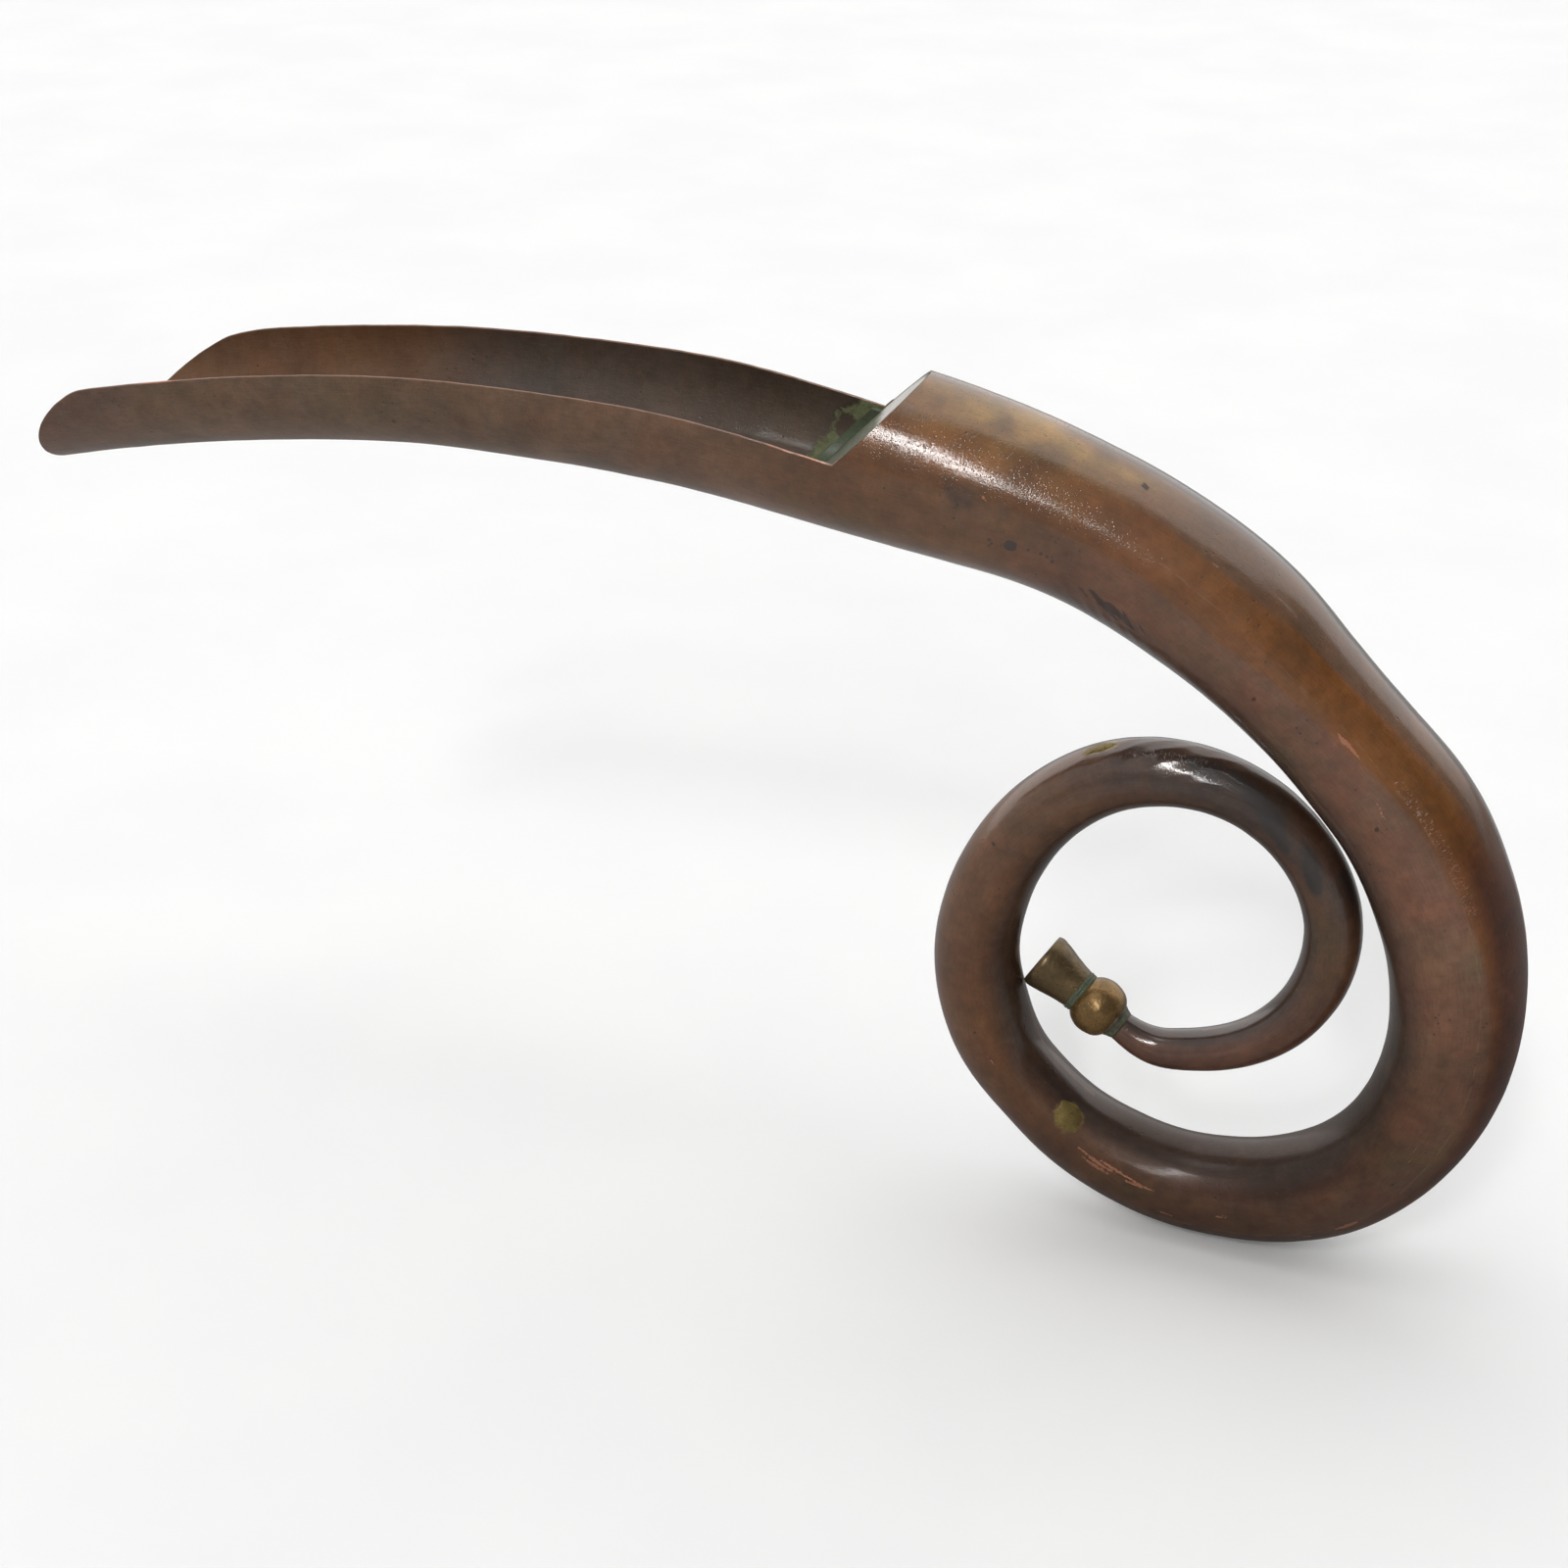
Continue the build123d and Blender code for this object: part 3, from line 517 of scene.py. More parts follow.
def paint_outside(at):
    """Colour, wear (tarnish, pitting, polish) and blue-black tarnish outside."""
    point = at.point
    broad, fine = fbm(point / 31.0, 4), fbm(point / 9.0 + 3.0, 4)
    cloud = fbm(point / 17.0 + 40.0, 4)
    colour = layered(
        np.zeros(at.arc.shape + (3,)) + srgb(122, 87, 66),
        ((104, 86, 56), 0.55, ease(cloud, 0.05, 0.55)),
        ((126, 78, 58), 0.5, ease(-cloud, 0.0, 0.5)),
    )
    colour = bend_colour(at, colour, fine)
    colour = trough_colour(at, colour, broad, fine, cloud)
    # coil: brown, orange along the lower left, redder at the narrow end
    colour = layered(
        colour,
        ((122, 82, 50), 0.6, at.rise(700, 740) * at.rise(880, 790)),
        ((132, 84, 44), 0.7, at.spot(arc=700, angle=112, length=44, width=6)),
        ((116, 76, 64), 0.6, at.rise(900, 950)),
    )
    # brightness of each length, partly painted shade under the coil; the trough is cooler
    warm_tone, trough_tone = np.array([1.02, 0.94, 0.78]), np.array([0.10, 0.20, 0.36])
    colour = colour * keyed(at.arc, BRIGHTNESS)[..., None] * warm_tone
    colour = colour * (1 + at.rise(258, 235)[..., None] * trough_tone)
    # painted soft light: lighter, bluer patches low on the front of the first bend and of the drop
    # on the right
    painted_soft_light = np.clip(at.spots(SOFT_LIGHT), 0, 1)[..., None]
    colour = colour * (1 + painted_soft_light * np.array([0.22, 0.30, 0.42]))
    colour = shade_colour(at, colour, fine)
    mottle = 1 + 0.22 * broad + 0.20 * fine + 0.10 * fbm(point / 3.2 + 60.0, 3)
    colour = colour * mottle[..., None]
    near_plate = at.spot(arc=296, angle=90, length=20, width=6)
    tarnish = np.clip(0.18 + 0.30 * broad + 0.3 * near_plate, 0, 1)
    pitted = at.spot(arc=298, angle=12, length=36, width=22)
    trough = at.rise(250, 200)
    pitting = np.clip(0.35 + 0.35 * fine + 1.1 * pitted + 0.5 * trough, 0, 1.3)
    polish = np.clip(0.45 + 0.3 * broad + 0.4 * at.rise(500, 620) - 0.3 * trough, 0, 1)
    blue = np.clip(at.spots(BLUE), 0, 1)
    return colour, np.stack([tarnish, pitting, polish], -1), blue


# Dark spots: arc, angle, half length, half width, strength
DARK_SPOTS = (
    (334.7, 19, 1.1, 0.9, 0.9), (294, 90, 8, 2.0, 0.20), (303, 92, 6, 1.6, 0.18),
    (186, 100, 12, 1.4, 0.12), (279, 112, 5, 2.2, 0.12), (437, 96, 0.9, 0.7, 0.7),
    (389, 101, 0.8, 0.6, 0.7), (520, 66, 0.8, 0.6, 0.6), (775, 60, 0.8, 0.6, 0.7),
    (712, 88, 0.7, 0.6, 0.6), (560, 80, 0.8, 0.7, 0.6), (130, 118, 1.0, 0.7, 0.6),
    (84, 121, 0.7, 0.6, 0.6),
)
# Painted shade in lines along the wrinkles: start arc and angle, end arc and angle, width, strength
CREASES = (
    (333, 111, 337, 118.5, 0.8, 0.7), (336, 109.5, 346, 122, 1.3, 1.0),
    (341.5, 111.5, 351.5, 121, 1.4, 1.0), (345.5, 109, 349.5, 117, 0.9, 0.7),
    (314.5, 114, 318, 123, 0.8, 0.6), (318.5, 114, 321, 123, 0.8, 0.6),
    (351, 111, 355, 118, 0.9, 0.6), (329, 113, 332.5, 120, 0.8, 0.5),
)
# Bright scratches: start arc and angle, end arc and angle, width
SCRATCHES = (
    (409.2, 70, 418.5, 70, 0.55), (411.0, 72, 414.0, 69, 0.7), (663, 105, 648, 101, 0.5),
    (660, 97, 650, 96, 0.55), (655, 108, 641, 104, 0.4), (646, 99, 635, 104, 0.45),
    (577, 61, 584, 62, 0.9), (590, 58, 594, 59, 0.35), (300, 74, 303, 78, 0.3),
    (430, 82, 436, 86, 0.3), (357, 44, 361, 40, 0.3), (700, 96, 704, 92, 0.25),
    (545, 88, 552, 84, 0.25), (612, 92, 616, 90, 0.4), (628, 74, 634, 76, 0.3),
)
# Gloss of the skin: arc, gloss
GLOSS = ((0, 0.35), (200, 0.35), (255, 0.75), (300, 1.0), (600, 0.9), (700, 0.7), (800, 0.85),
         (990, 1.0))
# Line of short bright marks: arc, angle
CHATTER_LINE = ((430, 60), (448, 60.5), (470, 59))
NO_SCRATCH = -9.0


def stain_and_crease_shade_fields(at):
    """Dark spots, painted shade in lines along the bending wrinkles, gloss of the skin."""
    spot = np.zeros(at.arc.shape)
    for arc, angle, length, width, strength in DARK_SPOTS:
        away = ((at.arc - arc) / length) ** 2 + (at.across(angle) / width) ** 2
        spot = np.maximum(spot, strength * np.clip(1.5 - away * 0.8, 0, 1))
    # painted shade in lines along the valleys of the bending wrinkles
    lines = np.zeros(at.arc.shape)
    for *ends, width, strength in CREASES:
        along, away = at.stroke(*ends)
        taper = 1.1 - np.abs(2 * along - 1) * 0.5
        lines = np.maximum(lines, strength * np.clip(1.3 - away / (width * taper), 0, 1))
    angle = at.angle
    dull = at.rise(425, 455) * at.rise(600, 560) * ease(angle, -20, 0) * ease(angle, 76, 50)
    dull = np.maximum(dull, at.rise(500, 560) * at.rise(690, 640) * ease(angle, 88, 118))
    gloss = keyed(at.arc, GLOSS) * (1 - 0.75 * dull)
    return np.stack([spot, np.clip(lines, 0, 1), gloss], -1)


def scratch_field(at):
    """Distance inside the edge of a bright copper scratch, negative outside."""
    out = np.full(at.arc.shape, NO_SCRATCH)
    for *ends, width in SCRATCHES:
        along, away = at.stroke(*ends)
        out = np.maximum(out, width * (1 - 0.65 * np.abs(2 * along - 1)) - away)
    return out


def spot_fields(at, blue):
    """Blue-black tarnish, smeared brass, short bright marks beside the seam and a painted glint on
    the planished top of the inner coil.
    """
    brass = np.clip(at.spots(BRASS), 0, 1)
    away = np.abs(at.across(keyed(at.arc, CHATTER_LINE)))
    # painted glint on the planished facets on top of the inner coil
    painted_facet_glint = 0.45 * at.spot(arc=829, angle=34, length=14, width=2.0)
    marks = 0.9 * at.rise(427, 431) * at.rise(472, 466) * np.clip(1.2 - away / 1.7, 0, 1)
    return np.stack([blue, brass, np.clip(painted_facet_glint + marks, 0, 1)], -1)


def tube_attributes(at, colour, wear, scratch, spots, green, stains_and_crease_shade):
    return {"of_col": colour, "of_wear": wear, "of_run": at.run(), "of_scratch": scratch,
            "of_spots": spots, "of_green": green, "of_stain_and_crease_shade": stains_and_crease_shade}


def outer_attributes(at, braze=0.0):
    """Attributes of the outside; braze is the share of braze colour."""
    colour, wear, blue = paint_outside(at)
    return tube_attributes(
        at, mix(colour, srgb(140, 112, 84), braze), wear, scratch_field(at),
        spot_fields(at, blue), np.zeros(len(at.arc)), stain_and_crease_shade_fields(at))


# ---------------------------------------------------------------- meshes
def new_object(name, vertices, faces, attributes, normals=None):
    """Smooth mesh object from vertices in millimetres."""
    mesh = bpy.data.meshes.new(name)
    quads = [tuple(int(i) for i in face) for face in faces]
    mesh.from_pydata((np.asarray(vertices) * MM).tolist(), [], quads)
    mesh.update()
    for key, values in attributes.items():
        values = np.asarray(values, np.float32)
        if values.ndim == 2:
            layer = mesh.attributes.new(key, "FLOAT_VECTOR", "POINT")
            layer.data.foreach_set("vector", values.ravel())
        else:
            layer = mesh.attributes.new(key, "FLOAT", "POINT")
            layer.data.foreach_set("value", values.ravel())
    mesh.polygons.foreach_set("use_smooth", np.ones(len(mesh.polygons), bool))
    if normals is not None:
        mesh.normals_split_custom_set_from_vertices(np.asarray(normals, float).tolist())
    obj = bpy.data.objects.new(name, mesh)
    bpy.context.scene.collection.objects.link(obj)
    return obj


def facing(vertices, faces, index, outward):
    """Turns all faces over if the indexed one looks against outward."""
    a, b, c = vertices[faces[index][:3]]
    return faces[:, ::-1] if np.dot(np.cross(b - a, c - a), outward) < 0 else faces


def sheet(points, normals):
    """A grid as vertices, normals and faces that look along the normals."""
    rows, columns = points.shape[:2]
    vertices, normals = points.reshape(-1, 3), normals.reshape(-1, 3)
    i, j = np.meshgrid(np.arange(rows - 1), np.arange(columns - 1), indexing="ij")
    a = (i * columns + j).ravel()
    faces = np.stack([a, a + 1, a + 1 + columns, a + columns], -1)
    middle = len(faces) // 2
    return vertices, normals, facing(vertices, faces, middle, normals[faces[middle][0]])


def ring_faces(rings, spokes):
    """Quads between closed rings of points."""
    faces = []
    for i in range(rings - 1):
        for j in range(spokes):
            a, b = i * spokes + j, i * spokes + (j + 1) % spokes
            faces.append((a, b, b + spokes, a + spokes))
    return np.array(faces)


def inside_sheet():
    """Inner face of the trough, on every other column."""
    rows = slice(0, int(np.argmin(np.abs(ROWS - (ARC_APEX + 5.0)))) + 1)
    columns = slice(None, None, 2)
    normals = NORMAL[rows, columns]
    points = OUTER[rows, columns] - normals * WALL
    at = TUBE.part(rows, columns)
    at.point = points.reshape(-1, 3)
    colour, wear, green = paint_inside(at)
    count = len(at.arc)
    stains_and_crease_shade = np.zeros((count, 3)) + (0.0, 0.0, 0.12)  # no spots or lines, low gloss
    return sheet(points, -normals), tube_attributes(
        at, colour, wear, np.full(count, NO_SCRATCH), np.zeros((count, 3)), green, stains_and_crease_shade)


def edge_colour(arc, angle, points, rim):
    """Bright worn sheet edge, bare in two places and dark along the oblique cut."""
    front = angle < 180
    bright = np.clip(0.75 + 0.9 * fbm(points / 4.0, 3), 0, 1)
    bare = (np.exp(-((arc - 56) / 6.0) ** 4) * front
            + 1.2 * np.exp(-((arc - 252) / 10.0) ** 4) * front
            * (0.7 + 1.2 * fbm(points / 1.5, 2)))
    colour = np.zeros((len(arc), 3)) + srgb(128, 96, 76)
    colour = layered(colour, ((176, 128, 98), 0.7, bright * rim)) * 0.72
    return layered(
        colour,
        ((60, 40, 28), 0.85, ease(arc, ARC_MOUTH - 0.5, ARC_MOUTH + 2.5)),
        ((216, 150, 120), 1.0, np.clip(bare, 0, 1) * (0.3 + 0.7 * rim)),
    )


def edge_sheet():
    """Rounded sheet edge: back along the near edge to the tip, then out along the far edge."""
    apex = int(np.argmax(CLOSED))
    rows = np.concatenate([np.arange(apex, -1, -1), np.arange(apex + 1)])
    tip = apex + 1
    columns = np.where(np.arange(len(rows)) < tip, COLUMNS - 1, 0)
    points, normals = OUTER[rows, columns], NORMAL[rows, columns]
    tangent = np.gradient(points, axis=0)
    tangent[tip - 1] = points[tip] - points[tip - 2]
    tangent[tip] = points[tip + 1] - points[tip - 1]
    tangent /= np.maximum(np.linalg.norm(tangent, axis=1, keepdims=True), 1e-9)
    outward = np.cross(normals, tangent)
    to_middle = OUTER[rows, COLUMNS // 2] - points
    if np.mean(np.sum(outward * to_middle, 1) > 0) > 0.5:
        outward = -outward
    # the edge bulges less along the oblique cut
    bulge = np.where(ROWS[rows] > ARC_MOUTH + 2, 0.06, 0.34)
    wobble = 0.10 * fbm(points / 3.5, 3) + 0.08 * value_noise(points / 9.0)
    reach = bulge + wobble * (bulge > 0.1)
    round_angles = np.linspace(0, math.pi, 7)
    edge_points, edge_normals = [], []
    for a in round_angles:
        edge_points.append(points - normals * (WALL / 2) + normals * (WALL / 2 * math.cos(a))
                           + outward * (reach * math.sin(a))[:, None])
        edge_normals.append(normals * math.cos(a) + outward * math.sin(a))
    edge_points, edge_normals = np.stack(edge_points, 1), np.stack(edge_normals, 1)
    edge_normals /= np.linalg.norm(edge_normals, axis=-1, keepdims=True)

    grids = (TUBE.arc, TUBE.angle, TUBE.radius)
    at = Place(*(np.repeat(grid[rows, columns], len(round_angles)) for grid in grids))
    rim = np.sin(np.tile(round_angles, len(rows))) ** 2
    colour = edge_colour(at.arc, at.angle, edge_points.reshape(-1, 3), rim)
    flat = 0 * at.arc
    wear = np.stack([0.25 + flat, 0.4 + flat, 0.5 + 0.4 * rim], -1)
    green = at.rise(ARC_MOUTH - 3, ARC_MOUTH + 1) * 0.5
    gloss_only = stain_and_crease_shade_fields(at) * (0, 0, 1)
    return sheet(edge_points, edge_normals), tube_attributes(
        at, colour, wear, flat + NO_SCRATCH, spot_fields(at, flat), green, gloss_only)


def outside_sheet(first, last):
    rows = slice(first, last + 1)
    return sheet(OUTER[rows], NORMAL[rows]), outer_attributes(TUBE.part(rows))


def joined(name, *parts):
    """One object from sheets and their attributes."""
    vertices, normals, faces, count = [], [], [], 0
    for (points, directions, quads), _ in parts:
        vertices.append(points)
        normals.append(directions)
        faces.append(quads + count)
        count += len(points)
    tables = [attributes for _, attributes in parts]
    attributes = {key: np.concatenate([table[key] for table in tables]) for key in tables[0]}
    return new_object(name, np.concatenate(vertices), np.concatenate(faces), attributes,
                      np.concatenate(normals))


def seam_strip(name, start, end, angle, width, proud, wander):
    """A thin band of braze along the tube."""
    columns = 7
    arcs = np.linspace(start, end, max(20, int((end - start) / 1.3)))
    side = np.linspace(-1, 1, columns)[None, :]
    radius = line_at(arcs)[2]
    zero = 0 * arcs
    half = width / 2 * (1 + 0.35 * value_noise(np.stack([arcs / 4.0, zero, zero + 3], -1)))
    shift = wander * value_noise(np.stack([arcs / 23.0, zero + 9, zero], -1))
    offset = shift[:, None] + half[:, None] * side
    at = Place(np.repeat(arcs[:, None], columns, 1),
               angle + np.degrees(offset / radius[:, None]),
               np.repeat(radius[:, None], columns, 1))
    roughness = 0.02 * value_noise(at.point / 1.7)
    points = at.raised(unevenness(at) + proud * (1 - side ** 4) - 0.02 + roughness)
    normals = outward_normals(points, arcs, np.zeros(len(arcs), bool))
    return joined(name, (sheet(points, normals), outer_attributes(at.part(), braze=0.22)))


def brass_pad(name, arc, angle, length, width, seed):
    """An irregular smear of brass on the tube."""
    rings, spokes = 16, 64
    turn = np.linspace(0, 2 * math.pi, spokes, endpoint=False)
    cos, sin = np.cos(turn), np.sin(turn)
    broad = value_noise(np.stack([1.5 * cos + seed, 1.5 * sin, 0 * turn], -1))
    small = value_noise(np.stack([5 * cos, 5 * sin + seed, 0 * turn], -1))
    outline = (1 + 0.24 * broad + 0.10 * small)[None, :]
    out = np.linspace(0, 1, rings)[:, None]
    arcs = arc + (out * outline * cos[None, :]) * length / 2
    across = (out * outline * sin[None, :]) * width / 2
    radius = line_at(arcs)[2]
    at = Place(arcs, angle + np.degrees(across / radius), radius)
    roughness = 0.05 * value_noise(at.point / 1.6) * (1 - out ** 4)
    vertices = at.raised(
        unevenness(at) + 0.33 * (1 - out ** 3.0) - 0.03 + roughness).reshape(-1, 3)
    centre = surface_point(np.array([arc]), np.array([angle]), np.array([0.0]))[0]
    check = (rings // 2) * spokes
    faces = facing(vertices, ring_faces(rings, spokes), check, vertices[check] - centre)
    return new_object(name, vertices, faces, {"of_edge": np.repeat(out, spokes, 1).ravel()})


row_low = int(np.argmin(np.abs(ROWS - JOINT_LOW)))
row_up = int(np.argmin(np.abs(ROWS - JOINT_UP)))
bell = joined("bell_skin", outside_sheet(0, row_low), inside_sheet(), edge_sheet())
middle = joined("middle_coil_skin", outside_sheet(row_low, row_up))
inner = joined("inner_coil_skin", outside_sheet(row_up, len(ROWS) - 1))

bell_seam = seam_strip("bell_seam", ARC_APEX + 4, JOINT_LOW, BELL_SEAM_ANGLE,
                       width=0.8, proud=0.02, wander=0.8)
middle_seam = seam_strip("middle_coil_seam", JOINT_LOW, JOINT_UP, COIL_SEAM_ANGLE,
                         width=1.4, proud=0.06, wander=0.5)
inner_seam = seam_strip("inner_coil_seam", JOINT_UP, 960.0, COIL_SEAM_ANGLE,
                        width=1.3, proud=0.05, wander=0.4)
low_pad = brass_pad("lower_brass_pad", arc=671.8, angle=127.0, length=11.5, width=8.6, seed=3.3)
up_pad = brass_pad("upper_brass_pad", arc=811.4, angle=6.5, length=8.0, width=5.4, seed=8.1)

# ---------------------------------------------------------------- mouthpiece, turned on one axis
MOUTHPIECE_LENGTH = 30.3
TO_RIM = Vector((-0.8530, 0.1640, 0.4950)).normalized()
TUBE_END = Vector((113.60, 0.0, 66.20))
RIM = np.array(TUBE_END + TO_RIM * MOUTHPIECE_LENGTH)
AXIS = -np.array(TO_RIM)  # from the rim towards the tube
SIDE = np.cross(AXIS, (0.0, 1.0, 0.0))
SIDE /= np.linalg.norm(SIDE)
SIDE_2 = np.cross(AXIS, SIDE)

# Profiles: distance from the rim along the axis, radius
CUP_OUTSIDE = ((0.3, 8.35), (1.0, 8.64), (2.6, 8.6), (5.0, 8.16), (8.0, 7.46), (11.0, 6.84),
               (14.15, 6.38))
CUP_INSIDE = ((0.3, 7.35), (2.2, 6.85), (4.0, 6.0), (6.2, 4.75), (8.0, 3.6), (9.3, 2.3),
              (10.3, 1.7), (12.2, 1.6))
SOLDER_RING = ((13.5, 6.15), (14.1, 6.5), (14.7, 6.62), (15.2, 6.42), (15.7, 6.45), (16.1, 6.2),
               (16.3, 6.0))
KNOP = ((15.92, 6.05), (16.7, 6.9), (18.5, 8.1), (20.3, 8.62), (22.1, 8.75), (24.0, 8.5),
        (25.9, 7.8), (27.4, 6.5), (28.28, 5.2))
COLLAR = ((27.7, 5.35), (28.3, 5.5), (29.0, 5.15), (29.6, 4.95), (MOUTHPIECE_LENGTH, 4.72),
          (30.8, 4.5))


def curve_through(points, count):
    """Smooth curve through the points of a profile."""
    points = np.array(points, float)
    run = np.concatenate([[0], np.cumsum(np.hypot(*np.diff(points, axis=0).T))])
    at = np.linspace(0, run[-1], count)
    columns = (points[:, 0], points[:, 1])
    return np.stack([spline_at(run, c, natural_spline(run, c), at)[0] for c in columns], -1)


def turned(name, profile, rough, seed):
    """A profile turned about the mouthpiece axis, with a rough surface."""
    spokes = 96
    turn = np.linspace(0, 2 * math.pi, spokes, endpoint=False)
    axial = profile[:, 0][:, None] + 0 * turn[None, :]
    radial = profile[:, 1][:, None] + 0 * turn[None, :]
    around = (np.cos(turn)[None, :, None] * SIDE + np.sin(turn)[None, :, None] * SIDE_2)
    smooth = RIM + axial[..., None] * AXIS + radial[..., None] * around
    height = rough * (fbm(smooth / 3.6 + seed, 3) + 0.5 * value_noise(smooth / 1.2 + seed))
    height = height * np.minimum(1, radial / 2.0)  # fades out near the axis
    points = RIM + axial[..., None] * AXIS + (radial + height)[..., None] * around
    vertices = points.reshape(-1, 3)
    widest = min(max(int(np.argmax(profile[:, 1])), 1), len(profile) - 2)
    faces = ring_faces(len(profile), spokes)
    faces = facing(vertices, faces, widest * spokes, around[0, 0])
    return new_object(name, vertices, faces,
                      {"of_axial": axial.ravel(), "of_radial": radial.ravel()})


def cup_profile():
    """Up the inside, over the rounded lip and down the outside."""
    lip_arc = [(0.3 - 0.3 * math.sin(t), 7.85 + 0.5 * math.cos(t))
               for t in np.linspace(math.pi - 0.25, 0.25, 7)]
    return np.concatenate([curve_through(CUP_INSIDE, 26)[::-1], lip_arc,
                           curve_through(CUP_OUTSIDE, 30), [(14.18, 6.1)]])


cup = turned("cup_skin", cup_profile(), rough=0.07, seed=2.0)
solder_ring = turned("solder_ring_skin", curve_through(SOLDER_RING, 18), rough=0.16, seed=5.0)
knop = turned("knop_skin", curve_through(KNOP, 34), rough=0.09, seed=8.0)
collar = turned("collar_skin", curve_through(COLLAR, 16), rough=0.14, seed=11.0)


# ---------------------------------------------------------------- shader helpers
class Signal:
    """A shader output that can be used in sums; each sum adds a Math node."""

    def __init__(self, graph, socket):
        self.graph, self.socket = graph, socket

    def __add__(self, other):
        return self.graph.math("ADD", self, other)

    def __radd__(self, other):
        return self.graph.math("ADD", other, self)

    def __sub__(self, other):
        return self.graph.math("SUBTRACT", self, other)

    def __rsub__(self, other):
        return self.graph.math("SUBTRACT", other, self)

    def __mul__(self, other):
        return self.graph.math("MULTIPLY", self, other)

    def __truediv__(self, other):
        return self.graph.math("DIVIDE", self, other)

    def clamped(self):
        """Clamps the Math node that made this signal."""
        self.socket.node.use_clamp = True
        return self


class Graph:
    """Builds the node tree of a material or world."""

    def __init__(self, owner, output="ShaderNodeOutputMaterial"):
        owner.use_nodes = True
        self.tree = owner.node_tree
        self.tree.nodes.clear()
        self.output = self.node(output)

    def node(self, kind, **settings):
        node = self.tree.nodes.new(kind)
        for key, value in settings.items():
            setattr(node, key, value)
        return node

    def put(self, socket, value):
        """Links a signal to a socket, or sets its value; a colour may leave out alpha."""
        if isinstance(value, Signal):
            self.tree.links.new(value.socket, socket)
        elif isinstance(value, (tuple, list, np.ndarray)):
            value = [float(x) for x in value]
            if len(socket.default_value) == 4 and len(value) == 3:
                value = value + [1.0]
            socket.default_value = value
        else:
            socket.default_value = value

    def wire(self, node, inputs, output=0):
        """Fills inputs, by name or number, and gives one output."""
        for key, value in inputs.items():
            self.put(node.inputs[key], value)
        return Signal(self, node.outputs[output])

    def source(self, kind, output, **settings):
        return self.wire(self.node(kind, **settings), {}, output)

    def attr(self, name, part="Vector"):
        return self.source("ShaderNodeAttribute", part, attribute_name=name)

    def coords(self, part="Object"):
        return self.source("ShaderNodeTexCoord", part)

    def math(self, operation, a, b=0.0):
        return self.wire(self.node("ShaderNodeMath", operation=operation), {0: a, 1: b})

    def vmath(self, operation, a, b):
        node = self.node("ShaderNodeVectorMath", operation=operation)
        number = operation in ("DISTANCE", "DOT_PRODUCT")
        return self.wire(node, {0: a, 1: b}, "Value" if number else 0)

    def split(self, vector):
        node = self.node("ShaderNodeSeparateXYZ")
        self.put(node.inputs[0], vector)
        return [Signal(self, socket) for socket in node.outputs]

    def noise(self, vector, scale, detail, rough, distortion=0.0):
        return self.wire(self.node("ShaderNodeTexNoise"), {
            "Vector": vector, "Scale": scale, "Detail": detail, "Roughness": rough,
            "Distortion": distortion})

    def voronoi(self, vector, scale):
        node = self.node("ShaderNodeTexVoronoi", feature="F1")
        return self.wire(node, {"Vector": vector, "Scale": scale}, "Distance")

    def ramp(self, value, start, end, low=0.0, high=1.0):
        """Smooth step from low at start to high at end."""
        node = self.node("ShaderNodeMapRange", interpolation_type="SMOOTHSTEP")
        return self.wire(node, {"Value": value, "From Min": start, "From Max": end,
                                "To Min": low, "To Max": high}, "Result")

    def mix(self, amount, a, b):
        node = self.node("ShaderNodeMix", data_type="RGBA", blend_type="MIX")
        return self.wire(node, {0: amount, 6: a, 7: b}, 2)

    def tint(self, colour, amount, rgb):
        """Lays an sRGB colour over another."""
        return self.mix(amount, colour, srgb(*rgb))

    def bump(self, height, distance):
        return self.wire(self.node("ShaderNodeBump"),
                         {"Height": height, "Distance": distance, "Strength": 1.0}, "Normal")

    def shader(self, kind, **inputs):
        """A shader; underscores stand for spaces in the input names."""
        named = {key.replace("_", " "): value for key, value in inputs.items()}
        return self.wire(self.node(kind), named)

    def mix_shaders(self, ray, other, shader):
        """shader for one kind of ray, other for the rest."""
        rays = self.source("ShaderNodeLightPath", ray)
        return self.wire(self.node("ShaderNodeMixShader"), {0: rays, 1: other, 2: shader})

    def surface(self, shader):
        self.put_link(shader, "Surface")

    def put_link(self, signal, name):
        self.tree.links.new(signal.socket, self.output.inputs[name])

    def principled(self, **inputs):
        self.surface(self.shader("ShaderNodeBsdfPrincipled", **inputs))


# ---------------------------------------------------------------- tarnished copper
# Inked marks under the first bend: arc, angle, radius, strength
INK_MARKS = (
    (311.3, 102.0, 1.75, 0.78), (305.5, 103.0, 0.55, 0.6), (306.3, 105.5, 0.5, 0.6),
    (305.8, 108.0, 0.5, 0.5), (309.0, 104.0, 0.35, 0.4), (316.2, 100.0, 0.5, 0.5),
    (319.6, 99.0, 0.6, 0.6), (321.4, 99.5, 0.5, 0.65), (323.2, 101.5, 0.6, 0.65),
    (322.6, 98.0, 0.35, 0.5),
)


